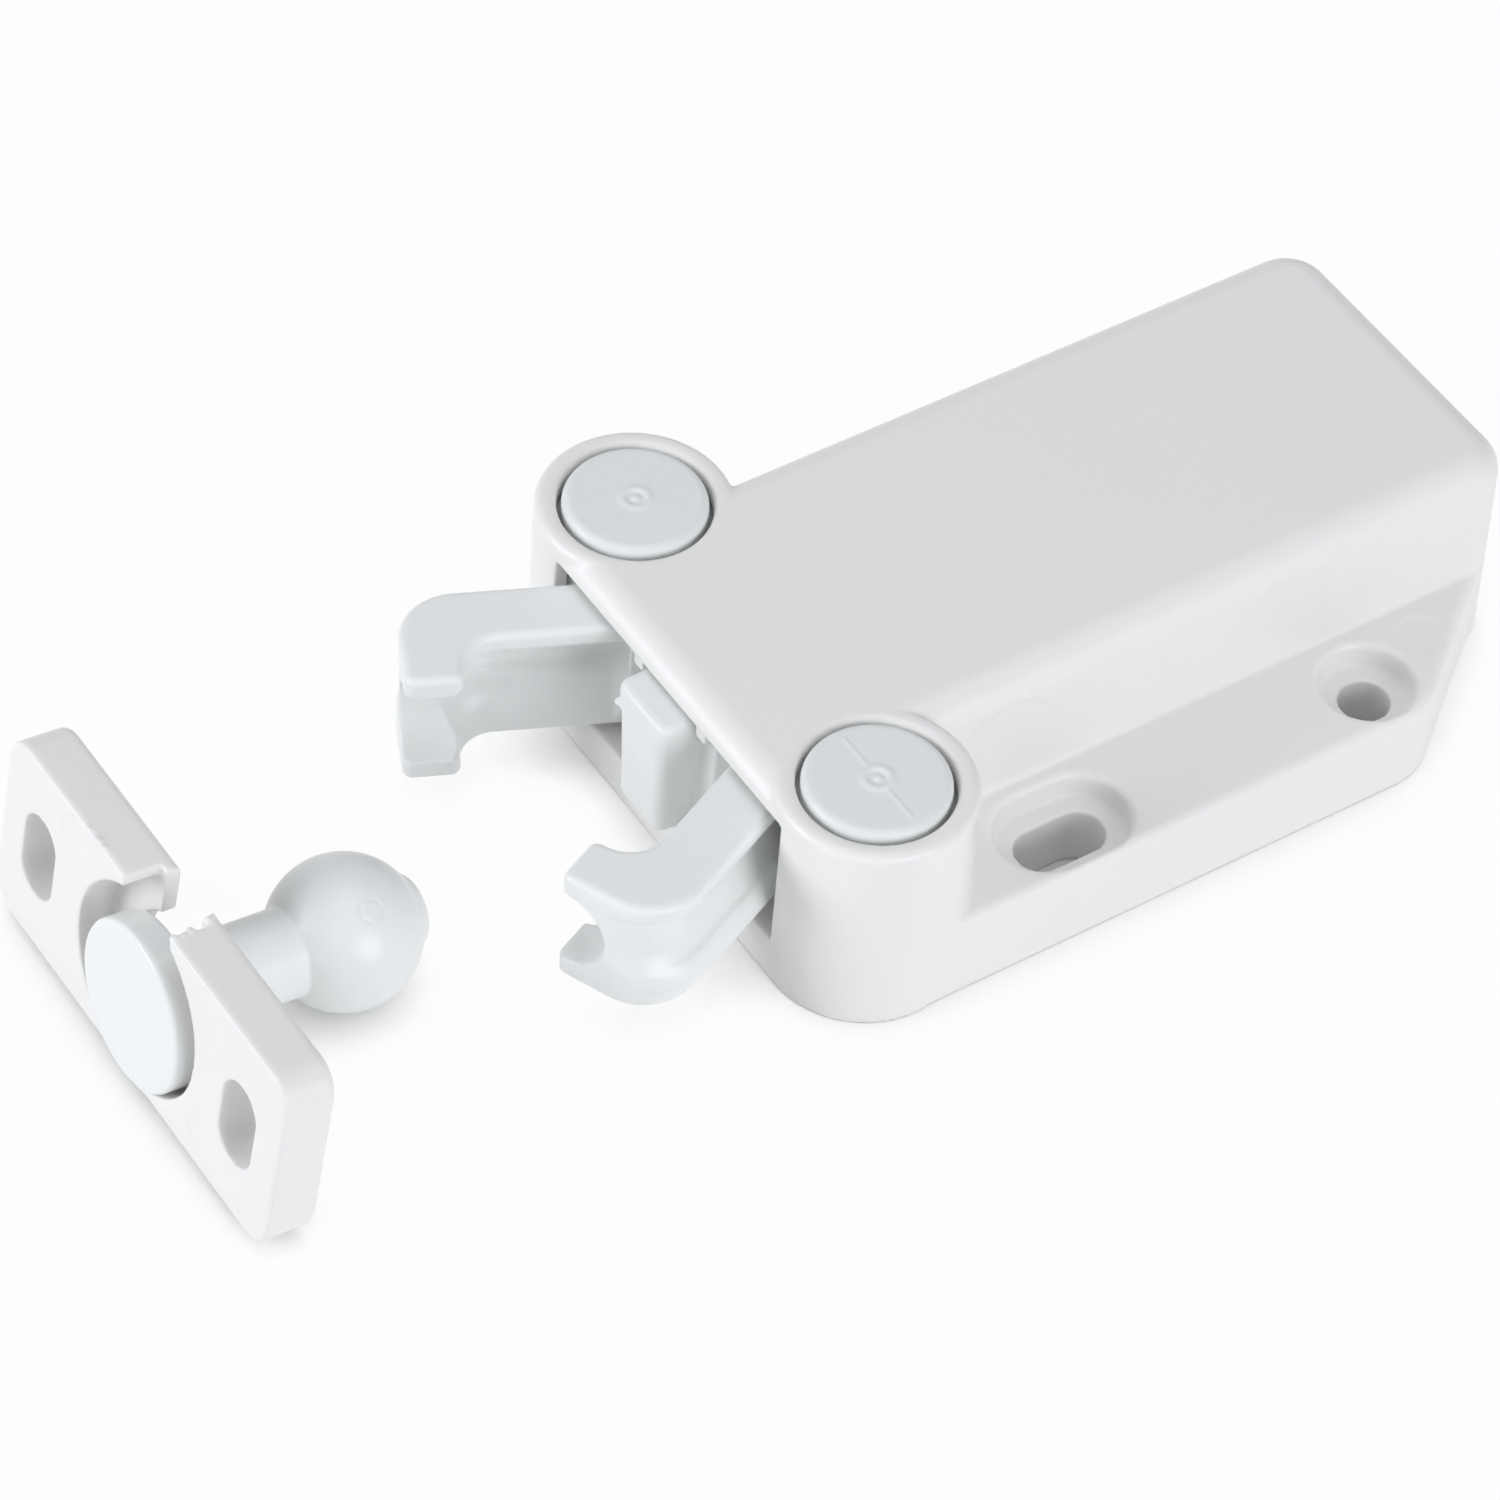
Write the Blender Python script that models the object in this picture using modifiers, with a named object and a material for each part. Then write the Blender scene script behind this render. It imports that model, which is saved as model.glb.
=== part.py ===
"""Touch latch with a floating ball-stud strike, released: the jaws stand open and the strike lies in front.

The front of the latch faces -Y. The origin lies on the mounting plane, midway between the two jaw pivots.
"""

import math

import bmesh
import bpy
from mathutils import Matrix, Vector

MM = 0.001

# Fits
GAP = 0.3 * MM  # clearance between neighbouring pieces
SINK = 0.5 * MM  # how far a rib or boss reaches into the wall that carries it
PAST = 1.0 * MM  # how far a cutter reaches past the face that it opens

# Housing
PIVOT_X = 14.3 * MM
BOSS_R = 6.7 * MM
BOSS_ROUND = 0.6 * MM
BODY_RIGHT = 11.7 * MM  # the body lies off centre: its far wall is further out
BODY_LEFT = 13.2 * MM
BODY_REAR = 53.9 * MM
BODY_TOP = 16.0 * MM
TOP_WALL = 1.6 * MM
SIDE_WALL = 1.5 * MM
REAR_WALL = 2.4 * MM
FLOOR = 3.5 * MM
TOP_ROUND = 2.0 * MM
REAR_CORNER_R = 3.2 * MM
WALL_DRAFT = 0.85 * MM  # how much further out a side wall stands at its foot
MOUTH_HALF = 13.4 * MM
RIB_WIDTH = 1.5 * MM
RIB_LENGTH = 1.8 * MM
RIB_DROP = 1.2 * MM

# Screw flange, on one side only
FLANGE_INSET = 0.1 * MM  # how far the flange's side lies inside the boss's
FLANGE_TOP = 6.6 * MM
FLANGE_ROUND = 0.7 * MM
FLANGE_DRAFT = 0.25 * MM
FLANGE_SHOULDER = 41.0 * MM
FLANGE_END = 51.5 * MM
FLANGE_CORNER_R = 6.0 * MM
SLOT_Y = 13.8 * MM
SLOT_RUN = 3.1 * MM
REAR_HOLE_Y = 38.8 * MM
SCREW_R = 1.8 * MM
SCREW_HEAD_R = 3.3 * MM
SCREW_HEAD_DEPTH = 1.9 * MM
RIM_ROUND = 0.5 * MM

# Base window and its cover
WINDOW_HALF = 9.5 * MM
WINDOW_FRONT = 9.0 * MM
WINDOW_REAR = 48.5 * MM
WINDOW_CORNER_R = 1.5 * MM
WINDOW_LEDGE = 1.5 * MM
COVER_RECESS = 0.3 * MM
COVER_THICKNESS = 1.8 * MM
COVER_RIB = 0.8 * MM

# Pivot pins
PIN_HEAD_R = 4.9 * MM
PIN_HEAD_ROUND = 0.6 * MM
PIN_HEAD_RISE = 0.4 * MM
PIN_SHANK_R = 3.0 * MM
PIN_SOCKET_FLOOR = 1.0 * MM

# Jaws, seen in plan from the pivot: forward along the arm and inward to the other jaw
JAW_OPEN = math.radians(24.2)
JAW_LOW = 4.5 * MM
JAW_HIGH = 13.9 * MM
JAW_ROUND = 0.5 * MM
HUB_R = 5.4 * MM
ARM_WIDTH = 4.5 * MM
ARM_LIP = 0.6 * MM  # how far the arm's flanges reach past the widest part of the ball
HOOK_LENGTH = 3.9 * MM
HOOK_WRAP = 0.5 * MM  # how far the hook reaches back past the end of the neck
HOOK_R = 4.0 * MM
TIP_GAP = 2.8 * MM
TIP_ROUND = 0.7 * MM
TIP_FLAT = 0.2 * MM  # straight part of the hook between its crook and its tip
CHANNEL_DEPTH = 1.8 * MM
CHANNEL_TOE = 0.2 * MM  # depth of the channel at its foot
JAW_FLANGE = 1.3 * MM
RELIEF_DEPTH = 1.0 * MM
RELIEF_LENGTH = 13.5 * MM
RELIEF_FADE = 4.0 * MM
RELIEF_LOW = 5.3 * MM
TAIL_HALF = 1.0 * MM
TAIL_TIP_R = 1.25 * MM
TAIL_LOW = 6.3 * MM
TAIL_HIGH = 11.6 * MM

# Plunger
NOSE_HALF = 2.85 * MM
NOSE_REACH = 2.0 * MM
NOSE_ROUND = 0.5 * MM
NOSE_CORNER_R = 0.9 * MM
NOSE_DRAFT = 0.35 * MM
PARTING_Z = 11.9 * MM
PARTING_STEP = 0.1 * MM
PRONG_HALF = 4.2 * MM
PRONG_LENGTH = 1.4 * MM
NECK_HALF = 6.6 * MM
NECK_WEB = 2.5 * MM  # left between the two notches that take the jaw tails
SLIDER_LENGTH = 20.5 * MM
OVERTRAVEL = 0.5 * MM
CORE_WIDTH = 4.2 * MM
CORE_LENGTH = 15.0 * MM
CORE_HEIGHT = 6.4 * MM

# Main spring
SPRING_COIL_R = 2.7 * MM
SPRING_WIRE_R = 0.4 * MM
SPRING_TURNS = 12
SPRING_Z = 9.2 * MM
SPRING_BORE_DEPTH = 7.5 * MM
SPRING_PEG_LENGTH = 3.0 * MM
POINTS_PER_TURN = 10

# Cam follower and the track that it rides in
FOLLOWER_WIRE_R = 0.5 * MM
FOLLOWER_LENGTH = 18.0 * MM
FOLLOWER_BEND_R = 1.0 * MM
FOLLOWER_PIVOT_Y = 34.0 * MM
FOLLOWER_SWING = 2.6 * MM
TRACK_DEPTH = 2.0 * MM
TRACK_SIDE_GAP = 0.35 * MM

# Ball stud, measured from the ball's centre
BALL_R = 5.2 * MM
BALL_Y = -30.8 * MM
BALL_TIP_R = 2.5 * MM
STUD_ASIDE = 0.3 * MM  # the loose stud lies a little to one side in its pocket
STUD_NECK_R = 3.0 * MM
STUD_NECK_FILLET = 0.4 * MM
DISC_R = 5.85 * MM
DISC_THICKNESS = 2.4 * MM
DISC_BACK = 15.7 * MM
DISC_ROUND = 0.3 * MM

# Strike plate
PLATE_LENGTH = 34.6 * MM
PLATE_THICKNESS = 3.8 * MM
PLATE_FRONT = 11.4 * MM  # from the ball's centre back to the plate's front face
PLATE_ABOVE = 8.5 * MM  # from the stud's axis up to the top edge
PLATE_BELOW = 6.2 * MM
PLATE_CORNER_R = 2.2 * MM
PLATE_ROUND = 0.6 * MM
POCKET_R = 7.2 * MM
POCKET_RIM = 0.5 * MM
PLATE_FRONT_WALL = 1.1 * MM
SNAP_BACK_HALF = 2.9 * MM
SNAP_FRONT_HALF = 2.2 * MM
PLATE_HOLE_SPACING = 25.2 * MM
PLATE_HOLE_R = 1.9 * MM
PLATE_HOLE_RUN = 2.8 * MM

# Fineness of round shapes
ARC_STEP = math.radians(11.25)
ROUND_SEGMENTS = 32
BEVEL_SEGMENTS = 3

# Worked out from the sizes above
CEILING = BODY_TOP - TOP_WALL
FRONT_Y = -BOSS_R
FLANGE_HALF = PIVOT_X + BOSS_R - FLANGE_INSET
BASE_RIGHT = BODY_RIGHT + WALL_DRAFT
SCREW_X = (BASE_RIGHT + FLANGE_HALF) / 2
HUB_CAVITY_R = HUB_R + GAP
HOLLOW_HALF = BODY_RIGHT - SIDE_WALL
HOLLOW_REAR = BODY_REAR - REAR_WALL
LEDGE_Z = COVER_RECESS + COVER_THICKNESS + GAP
COVER_TOP = COVER_RECESS + COVER_THICKNESS
JAW_MIDDLE = (JAW_LOW + JAW_HIGH) / 2
TAIL_SWEEP = JAW_OPEN / 2
NOTCH_R = TAIL_TIP_R + GAP
NOTCH_X = NECK_WEB / 2 + NOTCH_R
TAIL_LENGTH = PIVOT_X - NOTCH_X
LATCH_TRAVEL = 2 * TAIL_LENGTH * math.sin(TAIL_SWEEP)
TRAVEL = LATCH_TRAVEL + OVERTRAVEL
NOSE_FRONT = FRONT_Y - NOSE_REACH
BALL_HELD = BALL_R - NOSE_FRONT - LATCH_TRAVEL
ARM_INNER = PIVOT_X - BALL_R - GAP + ARM_LIP
ARM_OUTER = ARM_INNER - ARM_WIDTH
HOOK_BACK = BALL_HELD + math.sqrt(BALL_R**2 - STUD_NECK_R**2) - HOOK_WRAP
HOOK_FRONT = HOOK_BACK + HOOK_LENGTH
TIP_REACH = PIVOT_X - TIP_GAP / 2
CROOK_R = TIP_REACH - ARM_INNER - TIP_ROUND - TIP_FLAT
TAIL_Y = -TAIL_LENGTH * math.sin(TAIL_SWEEP)
SLIDER_LOW = FLOOR + GAP
NOSE_LOW = SLIDER_LOW + GAP / 2
SLIDER_HIGH = CEILING - GAP
SLIDER_HALF = HOLLOW_HALF - GAP
SLIDER_FRONT = HUB_CAVITY_R + 3 * GAP
SLIDER_REAR = SLIDER_FRONT + SLIDER_LENGTH
SPRING_FRONT = SLIDER_REAR - SPRING_BORE_DEPTH + GAP
SPRING_REAR = HOLLOW_REAR - GAP
SPRING_BORE_R = SPRING_COIL_R + SPRING_WIRE_R + GAP
FOLLOWER_TIP_Y = FOLLOWER_PIVOT_Y - FOLLOWER_LENGTH
FOLLOWER_Z = (COVER_TOP + SLIDER_LOW) / 2
TRACK_HALF = FOLLOWER_WIRE_R + TRACK_SIDE_GAP
POCKET_RISE = POCKET_R - DISC_R - GAP
BULGE_R = POCKET_R + POCKET_RIM
BULGE_BELOW = BULGE_R - POCKET_RISE
POCKET_DEPTH = PLATE_THICKNESS - PLATE_FRONT_WALL
PLATE_BACK = PLATE_FRONT + PLATE_THICKNESS
# The strike lies on the ball and on the front edge of the plate's bulge.
LEAN = math.atan2(BULGE_BELOW, PLATE_FRONT) - math.asin(BALL_R / math.hypot(PLATE_FRONT, BULGE_BELOW))

# Colour, roughness and metallic value of each finish
HOUSING_WHITE = ((0.80, 0.80, 0.81), 0.38, 0.0)
PIN_WHITE = ((0.75, 0.78, 0.79), 0.42, 0.0)
JAW_WHITE = ((0.80, 0.83, 0.85), 0.25, 0.0)
STRIKE_WHITE = ((0.84, 0.83, 0.82), 0.40, 0.0)
SPRING_STEEL = ((0.55, 0.55, 0.56), 0.30, 1.0)


def clear_scene():
    for obj in list(bpy.data.objects):
        bpy.data.objects.remove(obj)


def new_collection(name):
    collection = bpy.data.collections.new(name)
    bpy.context.scene.collection.children.link(collection)
    return collection


def finish_material(name, finish):
    colour, roughness, metallic = finish
    material = bpy.data.materials.new(name)
    material.use_nodes = True
    shader = material.node_tree.nodes["Principled BSDF"]
    shader.inputs["Base Color"].default_value = (*colour, 1.0)
    shader.inputs["Roughness"].default_value = roughness
    shader.inputs["Metallic"].default_value = metallic
    return material


def arc(centre, radius, start, stop, steps=None):
    """Points from one angle to another, both in radians and both included."""
    steps = steps or max(2, round(abs(stop - start) / ARC_STEP))
    angles = [start + (stop - start) * step / steps for step in range(steps + 1)]
    return [(centre[0] + radius * math.cos(a), centre[1] + radius * math.sin(a)) for a in angles]


def rounded(corners):
    """Outline through corners (x, y, radius), with an arc of that radius at each one."""
    points = []
    for index, (x, y, radius) in enumerate(corners):
        here = Vector((x, y))
        if not radius:
            points.append((x, y))
            continue
        before = (Vector(corners[index - 1][:2]) - here).normalized()
        after = (Vector(corners[(index + 1) % len(corners)][:2]) - here).normalized()
        half_angle = before.angle(after) / 2
        reach = radius / math.tan(half_angle)
        centre = here + (before + after).normalized() * (radius / math.sin(half_angle))
        first = here + before * reach - centre
        last = here + after * reach - centre
        start = math.atan2(first.y, first.x)
        turn = math.atan2(first.x * last.y - first.y * last.x, first.dot(last))
        points += arc(centre, radius, start, start + turn)
    return points


def mirrored(half):
    """A half outline, listed from the front to the rear on the +X side, closed by its mirror image."""
    return half + [(-x, y) for x, y in reversed(half)]


def link_mesh(name, bm, collection):
    bmesh.ops.recalc_face_normals(bm, faces=bm.faces[:])
    if bm.calc_volume(signed=True) < 0:
        bmesh.ops.reverse_faces(bm, faces=bm.faces[:])
    mesh = bpy.data.meshes.new(name)
    bm.to_mesh(mesh)
    bm.free()
    mesh.shade_smooth()
    mesh.set_sharp_from_angle(angle=math.radians(35))
    obj = bpy.data.objects.new(name, mesh)
    collection.objects.link(obj)
    return obj


def prism(name, collection, outline, low, high, round_high=0.0, round_low=0.0):
    """A flat outline raised from one height to another, with its upper and lower edges rounded."""
    bm = bmesh.new()
    base = bm.faces.new([bm.verts.new((x, y, low)) for x, y in outline])
    raised = bmesh.ops.extrude_face_region(bm, geom=[base])["geom"]
    lifted = [item for item in raised if isinstance(item, bmesh.types.BMVert)]
    bmesh.ops.translate(bm, vec=(0, 0, high - low), verts=lifted)
    for level, radius in ((high, round_high), (low, round_low)):
        rim = [edge for edge in bm.edges if all(abs(v.co.z - level) < 1e-7 for v in edge.verts)]
        if radius:
            bmesh.ops.bevel(
                bm, geom=rim, offset=radius, segments=BEVEL_SEGMENTS, profile=0.5, affect="EDGES", material=-1
            )
    return link_mesh(name, bm, collection)


def box(name, collection, low, high):
    bm = bmesh.new()
    bmesh.ops.create_cube(bm, size=1.0)
    centre = [(a + b) / 2 for a, b in zip(low, high)]
    size = [b - a for a, b in zip(low, high)]
    bmesh.ops.scale(bm, vec=size, verts=bm.verts[:])
    bmesh.ops.translate(bm, vec=centre, verts=bm.verts[:])
    return link_mesh(name, bm, collection)


def cylinder(name, collection, radius, start, stop):
    """A round bar between two points."""
    start = Vector(start)
    along = Vector(stop) - start
    turn = along.to_track_quat("Z", "Y").to_matrix().to_4x4()
    place = Matrix.Translation(start + along / 2) @ turn
    bm = bmesh.new()
    bmesh.ops.create_cone(
        bm, cap_ends=True, segments=ROUND_SEGMENTS, radius1=radius, radius2=radius, depth=along.length, matrix=place
    )
    return link_mesh(name, bm, collection)


def slot_outline(centre, radius, run):
    """A round-ended slot: a circle stretched by run along Y."""
    x, y = centre
    outline = arc((x, y + run / 2), radius, 0, math.pi) + arc((x, y - run / 2), radius, math.pi, 2 * math.pi)
    return [point for index, point in enumerate(outline) if math.dist(point, outline[index - 1]) > 1e-7]


def turned(name, collection, profile, ring=False):
    """A profile of (radius, height), from the top down its outer side, turned round Z. A ring's profile closes."""
    bm = bmesh.new()
    verts = [bm.verts.new((radius, 0, height)) for radius, height in profile]
    for upper, lower in zip(verts, verts[1:] + verts[:1] if ring else verts[1:]):
        bm.edges.new((upper, lower))
    mesh = bpy.data.meshes.new(name)
    bm.to_mesh(mesh)
    bm.free()
    obj = bpy.data.objects.new(name, mesh)
    collection.objects.link(obj)
    screw = obj.modifiers.new("turn", "SCREW")
    screw.steps = ROUND_SEGMENTS
    screw.render_steps = ROUND_SEGMENTS
    screw.use_merge_vertices = True
    screw.merge_threshold = 0.00001
    return obj


def combine(target, tools, operation):
    """Adds tools to a piece, or cuts them out of it. They stay as hidden helpers under the piece's parent."""
    for tool in tools:
        modifier = target.modifiers.new(tool.name, "BOOLEAN")
        modifier.operation = operation
        modifier.object = tool
        tool.parent = target.parent
        tool.hide_render = True
        tool.display_type = "WIRE"


def carrier(name, collection, location, rotation=(0, 0, 0)):
    """An empty that carries a piece and its helpers to their place."""
    empty = bpy.data.objects.new(name, None)
    empty.location = location
    empty.rotation_euler = rotation
    collection.objects.link(empty)
    return empty


def body_outline():
    """Plan of the tall body at its top: the front bar between the bosses, straight sides and rounded rear corners."""
    right = (BODY_RIGHT - REAR_CORNER_R, BODY_REAR - REAR_CORNER_R)
    left = (REAR_CORNER_R - BODY_LEFT, BODY_REAR - REAR_CORNER_R)
    quarter = math.pi / 2
    outline = [(PIVOT_X, FRONT_Y), (PIVOT_X, 0), (BODY_RIGHT, 0)]
    outline += arc(right, REAR_CORNER_R, 0, quarter) + arc(left, REAR_CORNER_R, quarter, 2 * quarter)
    return outline + [(-BODY_LEFT, 0), (-PIVOT_X, 0), (-PIVOT_X, FRONT_Y)]


def spread_foot(obj, top, draft):
    """Leans a piece's side walls: each point moves outward in proportion to its depth below the top."""
    for vert in obj.data.vertices:
        vert.co.x += math.copysign(draft * (top - vert.co.z) / top, vert.co.x)


def pivot_boss(helpers, side):
    """A round boss that carries one jaw's pin."""
    profile = [(0, BODY_TOP)]
    profile += arc((BOSS_R - BOSS_ROUND, BODY_TOP - BOSS_ROUND), BOSS_ROUND, math.pi / 2, 0, BEVEL_SEGMENTS)
    profile += [(BOSS_R, 0), (0, 0)]
    boss = turned(f"boss_{side:+d}", helpers, profile)
    boss.location = (side * PIVOT_X, 0, 0)
    return boss


def flange_outline():
    """Plan of the screw flange at its top, whose rear end tapers in to the body."""
    outer = FLANGE_HALF - FLANGE_DRAFT
    slope = (FLANGE_END - FLANGE_SHOULDER) / (FLANGE_HALF - BASE_RIGHT)
    inside = BODY_RIGHT - SIDE_WALL / 2
    end = FLANGE_SHOULDER + slope * (outer - inside)
    return rounded([(outer, 0, 0), (outer, FLANGE_SHOULDER, FLANGE_CORNER_R), (inside, end, 0), (inside, 0, 0)])


def hollow_outline():
    """Plan of the room inside: the front mouth, the round hub rooms and the long slider room."""
    enter = -math.acos((MOUTH_HALF - PIVOT_X) / HUB_CAVITY_R)
    leave = math.acos((HOLLOW_HALF - PIVOT_X) / HUB_CAVITY_R)
    mouth = [(MOUTH_HALF, FRONT_Y - PAST)]
    hub = arc((PIVOT_X, 0), HUB_CAVITY_R, enter, leave)
    return mirrored(mouth + hub + [(HOLLOW_HALF, HOLLOW_REAR)])


def window_outline(inset):
    """Plan of the window in the base, drawn in by an inset."""
    half = WINDOW_HALF - inset
    front = WINDOW_FRONT + inset
    rear = WINDOW_REAR - inset
    radius = max(WINDOW_CORNER_R - inset, GAP)
    corners = [(half, front, radius), (half, rear, radius), (-half, rear, radius), (-half, front, radius)]
    return rounded(corners)


def recess_cutter(name, helpers, at, radius, run, low, top):
    """A straight-sided recess whose upper rim flares out in a rounded edge."""
    levels = [(low, radius)]
    for step in range(BEVEL_SEGMENTS + 1):
        angle = math.pi / 2 * step / BEVEL_SEGMENTS
        levels.append((top - RIM_ROUND * (1 - math.sin(angle)), radius + RIM_ROUND * (1 - math.cos(angle))))
    levels.append((top + PAST, radius + RIM_ROUND))
    bm = bmesh.new()
    rings = []
    for height, ring_radius in levels:
        verts = [bm.verts.new((x, y, height)) for x, y in slot_outline(at, ring_radius, run)]
        rings.append([bm.edges.new((verts[index - 1], vert)) for index, vert in enumerate(verts)])
    for lower, upper in zip(rings, rings[1:]):
        bmesh.ops.bridge_loops(bm, edges=lower + upper)
    bmesh.ops.holes_fill(bm, edges=bm.edges[:])
    return link_mesh(name, bm, helpers)


def screw_cutters(helpers):
    """The front slot and the rear hole of the flange, each with its recess for the screw head."""
    cutters = []
    seat = FLANGE_TOP - SCREW_HEAD_DEPTH
    for label, y, run in (("slot", SLOT_Y, SLOT_RUN), ("hole", REAR_HOLE_Y, 0.0)):
        at = (SCREW_X, y)
        cutters.append(prism(f"shank_{label}", helpers, slot_outline(at, SCREW_R, run), -PAST, FLANGE_TOP))
        cutters.append(recess_cutter(f"recess_{label}", helpers, at, SCREW_HEAD_R, run, seat, FLANGE_TOP))
    return cutters


def build_housing(parts, helpers):
    housing = prism("housing", parts, body_outline(), 0, BODY_TOP, round_high=TOP_ROUND)
    spread_foot(housing, BODY_TOP, WALL_DRAFT)
    flange = prism("flange", helpers, flange_outline(), 0, FLANGE_TOP, round_high=FLANGE_ROUND)
    spread_foot(flange, FLANGE_TOP, FLANGE_DRAFT)
    combine(housing, [flange, pivot_boss(helpers, -1), pivot_boss(helpers, 1)], "UNION")

    cuts = [
        prism("hollow", helpers, hollow_outline(), FLOOR, CEILING),
        prism("window", helpers, window_outline(0), -PAST, LEDGE_Z),
        prism("window_way", helpers, window_outline(WINDOW_LEDGE), LEDGE_Z - GAP, FLOOR + PAST),
    ]
    for side in (-1, 1):
        pivot = side * PIVOT_X
        hole_r = PIN_HEAD_R + GAP
        socket = [(pivot, 0, PIN_SOCKET_FLOOR), (pivot, 0, FLOOR + PAST)]
        cuts.append(
            recess_cutter(f"head_hole_{side:+d}", helpers, (pivot, 0), hole_r, 0.0, CEILING - PAST, BODY_TOP)
        )
        cuts.append(cylinder(f"pin_socket_{side:+d}", helpers, PIN_SHANK_R + GAP, *socket))
    combine(housing, cuts + screw_cutters(helpers), "DIFFERENCE")

    ribs = []
    for side in (-1, 1):
        inner = NOSE_HALF + GAP
        across = sorted((side * inner, side * (inner + RIB_WIDTH)))
        rib_low = (across[0], FRONT_Y + GAP, CEILING - RIB_DROP)
        rib_high = (across[1], FRONT_Y + GAP + RIB_LENGTH, CEILING + SINK)
        ribs.append(box(f"nose_rib_{side:+d}", helpers, rib_low, rib_high))
    peg_r = SPRING_COIL_R - SPRING_WIRE_R - GAP
    peg = [(0, HOLLOW_REAR - SPRING_PEG_LENGTH, SPRING_Z), (0, HOLLOW_REAR + SINK, SPRING_Z)]
    ribs.append(cylinder("spring_peg", helpers, peg_r, *peg))
    combine(housing, ribs, "UNION")
    return housing


def build_base_cover(parts, helpers):
    cover = prism("base_cover", parts, window_outline(GAP), COVER_RECESS, COVER_TOP)
    pivot_hole = [(0, FOLLOWER_PIVOT_Y, -PAST), (0, FOLLOWER_PIVOT_Y, COVER_TOP + PAST)]
    relief = prism(
        "cover_relief", helpers, window_outline(GAP + WINDOW_LEDGE), -PAST, COVER_RECESS + COVER_RIB
    )
    boss = cylinder(
        "pivot_boss", helpers, 4 * FOLLOWER_WIRE_R, (0, FOLLOWER_PIVOT_Y, COVER_RECESS), (0, FOLLOWER_PIVOT_Y, COVER_TOP)
    )
    combine(cover, [relief], "DIFFERENCE")
    combine(cover, [boss], "UNION")
    hole = cylinder("pivot_hole", helpers, FOLLOWER_WIRE_R + GAP, *pivot_hole)
    combine(cover, [hole], "DIFFERENCE")
    return cover


def build_pin(parts, side):
    """A headed pivot pin: its head fills the hole in the top wall, its shank runs down to a blind socket."""
    top = BODY_TOP + PIN_HEAD_RISE
    round_centre = (PIN_HEAD_R - PIN_HEAD_ROUND, top - PIN_HEAD_ROUND)
    profile = [(0, top)] + arc(round_centre, PIN_HEAD_ROUND, math.pi / 2, 0, BEVEL_SEGMENTS)
    profile += [
        (PIN_HEAD_R, CEILING),
        (PIN_SHANK_R, CEILING),
        (PIN_SHANK_R, PIN_SOCKET_FLOOR + 2 * GAP),
        (PIN_SHANK_R - GAP, PIN_SOCKET_FLOOR + GAP),
        (0, PIN_SOCKET_FLOOR + GAP),
    ]
    pin = turned("right_pivot_pin" if side > 0 else "left_pivot_pin", parts, profile)
    pin.location = (side * PIVOT_X, 0, 0)
    return pin


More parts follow.
